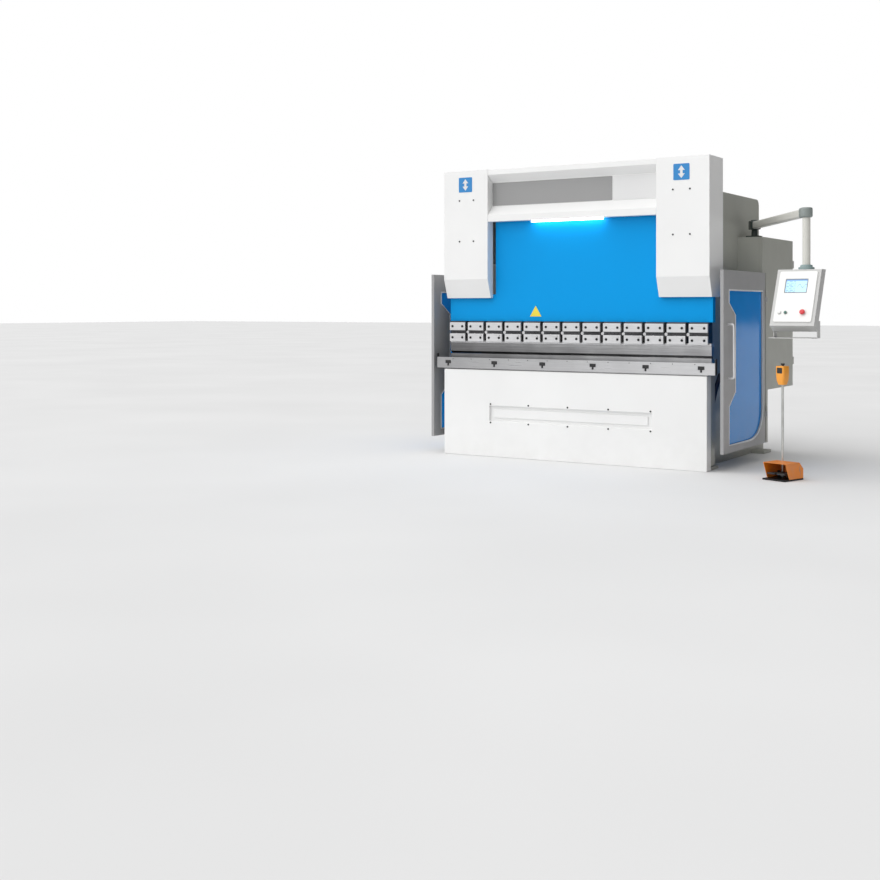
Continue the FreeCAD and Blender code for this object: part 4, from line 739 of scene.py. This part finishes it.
class BRAKE_OT_guards(Operator):
    """Build the guard doors: leaf, seal, tinted window and handle on each side"""
    bl_idname = "brake.guards"
    bl_label = "Guard Doors"

    def execute(self, context):
        size = brake()
        pane_low, pane_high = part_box("door_glass_right")
        middle = (pane_low[0] + pane_high[0]) / 2
        front, back = pane_low[1], pane_high[1]
        foot, top = pane_low[2], pane_high[2]
        notch = front + 0.155
        lead, trail = -0.900, back + 0.080
        turn = np.linspace(0, np.pi / 2, 30)
        arc = np.stack([back - 0.378 * (1 - np.sin(turn) ** 0.8),
                        foot + 0.004 + 0.266 * (1 - np.cos(turn) ** 0.8)], 1)
        t = np.linspace(0, 1, 30)
        corner = np.stack([np.minimum(back - 0.378 + 2 * (trail - back + 0.378) * t, trail),
                           0.150 + 0.660 * np.maximum(t - 0.5, 0)], 1)
        inner = np.concatenate([[[front, foot + 0.004]], arc, [[back, top], [front, top],
                                [front, 1.369], [notch, 1.269], [notch, 0.640], [front, 0.525]]])
        outer = np.concatenate([[[lead, 0.150]], corner, [[trail, 1.634], [lead, 1.634],
                                [lead, 1.369], [lead, 1.269], [lead, 0.640], [lead, 0.525]]])
        away = outer - inner
        away /= np.linalg.norm(away, axis=1, keepdims=True)
        hinge = trail + 0.010
        for side, sign in MIRROR.items():
            def spread(a, b):
                return tuple(sorted((sign * a, sign * b)))
            leaf = frame_band(outer, inner, *spread(middle - 0.015, middle + 0.015), edge=0.003)
            knuckles = [turned([(0.0088, z), (0.009, z + 0.001), (0.009, z + 0.044), (0.0088, z + 0.045)],
                               (sign * (middle + 0.021), hinge, 0)) for z in (0.380, 1.380)]
            inside, outside = spread(middle + 0.011, middle + 0.021)
            tabs = [block((inside, hinge - 0.030, z), (outside, hinge, z + 0.045), "X", 0.002, 0.001)
                    for z in (0.380, 1.380)]
            make("door_leaf_" + side, [leaf, *knuckles, *tabs], "door_grey", "door_" + side,
                 ("door_frame_" + side,))
            seals = [frame_band(inner + away * size.trim_width, inner - away * 0.003, *spread(a, b),
                                edge=0.0015)
                     for a, b in ((middle + 0.0145, middle + 0.0185), (middle - 0.0185, middle - 0.0145))]
            make("window_seal_" + side, seals, "trim_pale", "door_" + side)
            sheet = np.stack([np.concatenate([np.full((len(inner), 1), x), inner + away * 0.008], 1)
                              for x in spread(middle - 0.0025, middle + 0.0025)])
            make("window_sheet_" + side, [loft(sheet)], "window_blue", "door_" + side,
                 ("door_glass_" + side,))
            root, reach = sign * (middle + 0.014), sign * (middle + 0.063)
            path = bent([(root, -0.796, 0.757), (reach, -0.796, 0.757), (reach, -0.796, 1.193),
                         (root, -0.796, 1.193)], 0.018)
            grip = swept(rounded(0.012, 0.0095, 0.005), path, (0, 1, 0))
            make("door_grip_" + side, [grip], "handle_satin", "door_" + side,
                 ("door_handle_" + side,))
        return {"FINISHED"}


class BRAKE_OT_arm(Operator):
    """Build the pendant's swing arm, elbow and drop tube"""
    bl_idname = "brake.arm"
    bl_label = "Pendant Arm"

    def execute(self, context):
        pivot, turn = (1.25, 0.295, 2.060), -56.8
        ends = np.array([0.050, 0.052, 0.060, 1.440, 1.458, 1.460])
        inset = (0.004, 0.001, 0, 0, 0.001, 0.004)
        flat = np.stack([rounded(0.031 - d, 0.031 - d, 0.010) for d in inset])
        make("arm_tube", [moved(loft(stacked(flat, ends, "X")), pivot, turn)], "arm_grey", "arm",
             ("pendant_arm",))
        hub = [block((-0.045, -0.045, -0.037), (0.055, 0.045, 0.037), "Z", 0.016, 0.005),
               turned([(0.030, 0.036), (0.030, 0.044), (0.026, 0.048)], (0, 0, 0))]
        hub += [turned([(0.007, 0.036), (0.007, 0.041), (0.005, 0.042)], (x, y, 0), sides=6)
                for x in (-0.034, 0.044) for y in (-0.034, 0.034)]
        make("arm_hub", [moved(shape, pivot, turn) for shape in hub], "bracket_green", "arm")
        angle = np.linspace(0, np.pi / 2, 7)
        dome = [(0.030 + 0.016 * np.cos(a), 0.027 + 0.012 * np.sin(a)) for a in angle]
        knee = [turned([(r, -z) for r, z in dome[::-1]] + dome, (1.5, 0, 0), sides=48),
                block((1.432, -0.040, -0.039), (1.490, 0.040, 0.039), "X", 0.014, 0.006)]
        make("arm_elbow", [moved(shape, pivot, turn) for shape in knee], "elbow_grey", "arm",
             ("pendant_elbow",))
        tip = np.array(pivot) + 1.5 * np.array([math.cos(math.radians(turn)),
                                                math.sin(math.radians(turn)), 0])
        down = (tip[0], tip[1], 0)
        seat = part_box("drop_tube")[0][2]
        make("drop_pipe", [turned([(0.0295, seat + 0.020), (0.0295, 2.0195), (0.0285, 2.0205)], down,
                                  sides=48)], "arm_grey", "pendant", ("drop_tube",))
        step = [(0.058, 0.0005), (0.060, 0.0020), (0.060, 0.0150), (0.058, 0.0170), (0.047, 0.0190),
                (0.045, 0.0310), (0.042, 0.0350), (0.030, 0.0370)]
        make("drop_flange", [turned([(r, seat + z) for r, z in step], down, sides=48)],
             "flange_grey", "pendant")
        return {"FINISHED"}


class BRAKE_OT_pendant(Operator):
    """Build the pendant's front plate, display, keys and stop button"""
    bl_idname = "brake.pendant"
    bl_label = "Pendant"

    def execute(self, context):
        lean = -math.degrees(math.atan2(0.214, 0.430))
        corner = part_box("pendant_case")[0]
        origin = (corner[0] + 0.168, corner[1], corner[2] + 0.0448)

        def on_panel(shapes):
            return [moved(shape, origin, 0.0, lean) for shape in shapes]

        def ring_plate(outer, inner, centre, window, front, back, edge):
            """Plate with a window: its cross-section runs round between two rounded loops."""
            points, quads, caps = frame_band(outer + centre, inner + window, front, back, edge)
            return points[:, [1, 0, 2]], quads[:, ::-1], caps

        screen_middle = (-0.006, 0.335)
        plate = ring_plate(rounded(0.144, 0.215, 0.012), rounded(0.086, 0.060, 0.003), (0, 0.245),
                           screen_middle, -0.008, 0.0, 0.002)
        make("pendant_front", on_panel([plate]), "case_white", "pendant",
             ("pendant_bezel",))
        gasket = ring_plate(rounded(0.0858, 0.0598, 0.003), rounded(0.080, 0.054, 0.002),
                            screen_middle, screen_middle, -0.0075, -0.004, 0.0008)
        make("display_gasket", on_panel([gasket]), "elbow_grey", "pendant")
        glass = block((-0.0915, -0.005, 0.2755), (0.0795, -0.0002, 0.3945), "Y", 0.002, 0.0006)
        screen = make("display_panel", on_panel([glass]), "display", "pendant",
                      ("pendant_screen",))
        spots = np.empty(len(screen.data.loops), dtype=np.int32)
        screen.data.loops.foreach_get("vertex_index", spots)
        flat = np.stack([(glass[0][:, 0] + 0.0915) / 0.171, (glass[0][:, 2] - 0.2755) / 0.119], 1)
        screen.data.uv_layers.new(name="face").data.foreach_set("uv", flat[spots].ravel())
        collar = [(0.0115, -0.0078), (0.0150, -0.0078), (0.0150, -0.0105), (0.0140, -0.0115),
                  (0.0120, -0.0115), (0.0115, -0.0105)]
        collars = [turned(collar, (x, 0, 0.106), "Y", 32, True) for x in (-0.104, -0.058)]
        collars.append(turned([(r * 1.15 - 0.004, y) for r, y in collar], (0.072, 0, 0.106), "Y", 32,
                              True))
        make("key_collars", on_panel(collars), "zinc_plate", "pendant")
        for name, x, finish, slot, body in (
                ("start_key", -0.104, "white_cap", "white_plastic", "start_button"),
                ("pause_key", -0.058, "green_cap", "green_plastic", "pause_button")):
            cap = turned([(0.0080, -0.0060), (0.0080, -0.0120), (0.0106, -0.0122), (0.0110, -0.0130),
                          (0.0110, -0.0175), (0.0100, -0.0190), (0.0070, -0.0197), (0.0020, -0.0199)],
                         (x, 0, 0.106), "Y")
            make(name, on_panel([cap]), finish, body, (body,))
        angle = np.linspace(0.15, np.pi / 2 - 0.06, 8)
        dome = [(0.021 * np.cos(a) ** 0.7, -0.0225 - 0.0110 * np.sin(a)) for a in angle]
        stop = turned([(0.0080, -0.0060), (0.0080, -0.0152), (0.0150, -0.0154), (0.0190, -0.0172),
                       (0.0208, -0.0205)] + dome, (0.072, 0, 0.106), "Y", 48)
        make("pendant_stop_cap", on_panel([stop]), "red_cap", "pendant_stop",
             ("pendant_stop",))
        return {"FINISHED"}


class BRAKE_OT_station(Operator):
    """Build the pedal station's treadles with their ribs, the post and the stop box"""
    bl_idname = "brake.station"
    bl_label = "Pedal Station"

    def execute(self, context):
        size = brake()
        origin, turn = (1.900, -1.000, 0.0), -18.0
        for side, sign in MIRROR.items():
            across = sorted((sign * 0.006, sign * 0.0805))
            lean = math.degrees(math.atan2(-0.010, 0.155))
            pad = block((across[0], -0.155, -0.006), (across[1], 0.0, 0.006), "Z", 0.008, 0.0025)
            ribs = repeated(block((across[0] + 0.006, -0.0035, 0.0055), (across[1] - 0.006, 0.0035, 0.0080),
                                  "Z", 0.002, 0.001),
                            [(0, -0.148 + k * size.rib_pitch, 0) for k in range(8)])
            lever = [moved(shape, (0, 0.060, 0.040), 0.0, lean) for shape in (pad, ribs)]
            centre = (across[0] + across[1]) / 2
            barrel = turned([(0.0080, -0.0370), (0.0090, -0.0360), (0.0090, 0.0360), (0.0080, 0.0370)],
                            (centre, 0.070, 0.040), "X")
            make("treadle_pad_" + side, [moved(shape, origin, turn) for shape in (*lever, barrel)],
                 "black_plastic", "treadle_" + side, ("treadle_" + side,))
        tube = turned([(0.0180, 0.0120), (0.0180, 0.0170), (0.0170, 0.0180), (0.0095, 0.0185),
                       (0.0095, 0.7250)], (-0.070, 0.097, 0), sides=24)
        make("post_tube", [moved(tube, origin, turn)], "zinc_plate", "station",
             ("station_post",))
        level = np.array([0.725, 0.727, 0.760, 0.800, 0.868, 0.8715, 0.873])
        half = np.array([0.024, 0.028, 0.037, 0.040, 0.040, 0.038, 0.033])
        flat = np.stack([rounded(h, h, 0.016) for h in half])
        case = loft(stacked(flat + (-0.070, 0.097), level))
        make("stop_case", [moved(case, origin, turn)], "amber_case", "station",
             ("stop_box",))
        plate = block((-0.094, 0.0565, 0.815), (-0.046, 0.0595, 0.860), "Y", 0.006, 0.001)
        make("stop_plate", [moved(plate, origin, turn)], "black_plastic", "station")
        return {"FINISHED"}


class BRAKE_OT_hydraulics(Operator):
    """Build the finned pump motor and the tank's breather and level glass"""
    bl_idname = "brake.hydraulics"
    bl_label = "Hydraulics"

    def execute(self, context):
        size = brake()
        low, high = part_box("pump_motor")
        centre = np.array([0.0, 0.380, 0.0])
        sides = size.fin_count * 4
        wave = np.tile([0.0, 0.0, 1.0, 1.0], size.fin_count) * size.fin_depth
        ring = circle(1.0, sides)
        level = low[2] + np.array([0.030, 0.034, 0.214, 0.218])
        reach = np.stack([0.080 + wave * 0.6, 0.083 + wave, 0.083 + wave, 0.080 + wave * 0.6])
        rings = stacked(ring * reach[..., None], level)
        foot = turned([(0.118, low[2]), (0.120, low[2] + 0.002), (0.120, low[2] + 0.026),
                       (0.116, low[2] + 0.030)], centre, sides=48)
        cowl = turned([(0.090, low[2] + 0.216), (0.090, low[2] + 0.250), (0.082, low[2] + 0.258),
                       (0.055, low[2] + 0.260)], centre, sides=48)
        box = block((0.088, 0.335, low[2] + 0.102), (0.140, 0.425, low[2] + 0.192), "X", 0.008, 0.004)
        make("motor_finned", [foot, loft(rings + centre), cowl, box], "motor_blue", "root",
             ("pump_motor",))
        tank_low, tank_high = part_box("oil_tank")
        cap = turned([(0.024, 0), (0.024, 0.012), (0.034, 0.014), (0.036, 0.018), (0.036, 0.040),
                      (0.030, 0.046)], (-0.300, 0.450, tank_high[2]), sides=40)
        make("tank_breather", [cap], "zinc_plate", "root")
        back = tank_high[1] - 0.020
        holder = [block((0.300, back - 0.001, z), (0.330, back + 0.014, z + 0.030), "Y", 0.004, 0.002)
                  for z in (2.020, 2.190)]
        make("level_holder", holder, "black_plastic", "root")
        glass = turned([(0.006, 2.048), (0.006, 2.192)], (0.315, back + 0.007, 0), sides=20)
        make("level_glass", [glass], "sight_glass", "root")
        return {"FINISHED"}


class BRAKE_OT_stage(Operator):
    """Set the floor, the soft studio light and the camera"""
    bl_idname = "brake.stage"
    bl_label = "Stage"

    def execute(self, context):
        settings = context.scene.brake_stage
        tree, shader = new_finish("studio_floor")
        place = add(tree, "TexCoord").outputs["Object"]
        tone = ranged(tree, noise(tree, place, 0.4), 0.3, 0.7, 0.70, 0.74)
        tree.links.new(add(tree, "CombineColor", {0: tone, 1: tone, 2: tone}).outputs[0],
                       shader.inputs["Base Color"])
        shader.inputs["Roughness"].default_value = 0.9
        mesh = bpy.data.meshes.new("studio_floor")
        mesh.from_pydata([(-90, -90, -0.001), (90, -90, -0.001), (90, 90, -0.001), (-90, 90, -0.001)], [],
                         [(0, 1, 2, 3)])
        mesh.materials.append(bpy.data.materials["finish_studio_floor"])
        floor = bpy.data.objects.new("studio_floor", mesh)
        context.collection.objects.link(floor)

        world = bpy.data.worlds.new("studio")
        context.scene.world = world
        world.use_nodes = True
        tree = world.node_tree
        tree.nodes.clear()
        toward = add(tree, "TexCoord").outputs["Generated"]
        aim = add(tree, "VectorMath", {0: toward, 1: (-0.50, -0.46, 0.73)}, operation="DOT_PRODUCT")
        lit = ranged(tree, aim.outputs["Value"], -0.05, 1.0, 0.0, settings.key)
        total = add(tree, "Math", {0: lit, 1: settings.ambient}, operation="ADD").outputs[0]
        soft = add(tree, "Background", {"Color": (1, 1, 1, 1), "Strength": total})
        plain = add(tree, "Background", {"Color": (1, 1, 1, 1), "Strength": 1.0})
        seen = add(tree, "LightPath").outputs["Is Camera Ray"]
        both = add(tree, "MixShader", {0: seen, 1: soft.outputs[0], 2: plain.outputs[0]})
        tree.links.new(both.outputs[0], add(tree, "OutputWorld").inputs[0])

        data = bpy.data.cameras.new("studio_camera")
        data.lens = settings.lens
        data.sensor_width = 36.0
        data.shift_y = -0.149
        data.clip_end = 400.0
        camera = bpy.data.objects.new("studio_camera", data)
        camera.location = (4.839, -10.612, 1.319)
        camera.rotation_euler = (math.pi / 2, 0.0, math.radians(32.29))
        context.collection.objects.link(camera)
        context.scene.camera = camera
        context.scene.view_settings.view_transform = "Standard"
        return {"FINISHED"}


class BRAKE_PT_panel(Panel):
    """Lists the steps in order"""
    bl_label = "Press Brake"
    bl_idname = "BRAKE_PT_panel"
    bl_space_type = "VIEW_3D"
    bl_region_type = "UI"
    bl_category = "Press Brake"

    def draw(self, context):
        for settings in (context.scene.brake_sizes, context.scene.brake_colours,
                         context.scene.brake_stage):
            column = self.layout.column(align=True)
            for name in settings.bl_rna.properties.keys():
                if name not in ("rna_type", "name"):
                    column.prop(settings, name)
        for step in STEPS:
            self.layout.operator(step.bl_idname)


STEPS = (BRAKE_OT_stage, BRAKE_OT_finishes, BRAKE_OT_housings, BRAKE_OT_clamps, BRAKE_OT_front,
         BRAKE_OT_guards, BRAKE_OT_arm, BRAKE_OT_pendant, BRAKE_OT_station, BRAKE_OT_hydraulics)
SETTINGS = {"brake_sizes": BrakeSizes, "brake_colours": BrakeColours, "brake_stage": BrakeStage}


def register():
    """Registers the settings, the steps and the panel."""
    for made in (*SETTINGS.values(), *STEPS, BRAKE_PT_panel):
        bpy.utils.register_class(made)
    for name, made in SETTINGS.items():
        setattr(bpy.types.Scene, name, PointerProperty(type=made))


def unregister():
    """Removes what register added."""
    for name in SETTINGS:
        delattr(bpy.types.Scene, name)
    for made in (BRAKE_PT_panel, *reversed(STEPS), *SETTINGS.values()):
        bpy.utils.unregister_class(made)


def main():
    """Runs every step in order."""
    register()
    for step in STEPS:
        family, name = step.bl_idname.split(".")
        getattr(getattr(bpy.ops, family), name)()


if __name__ == "__main__":
    main()
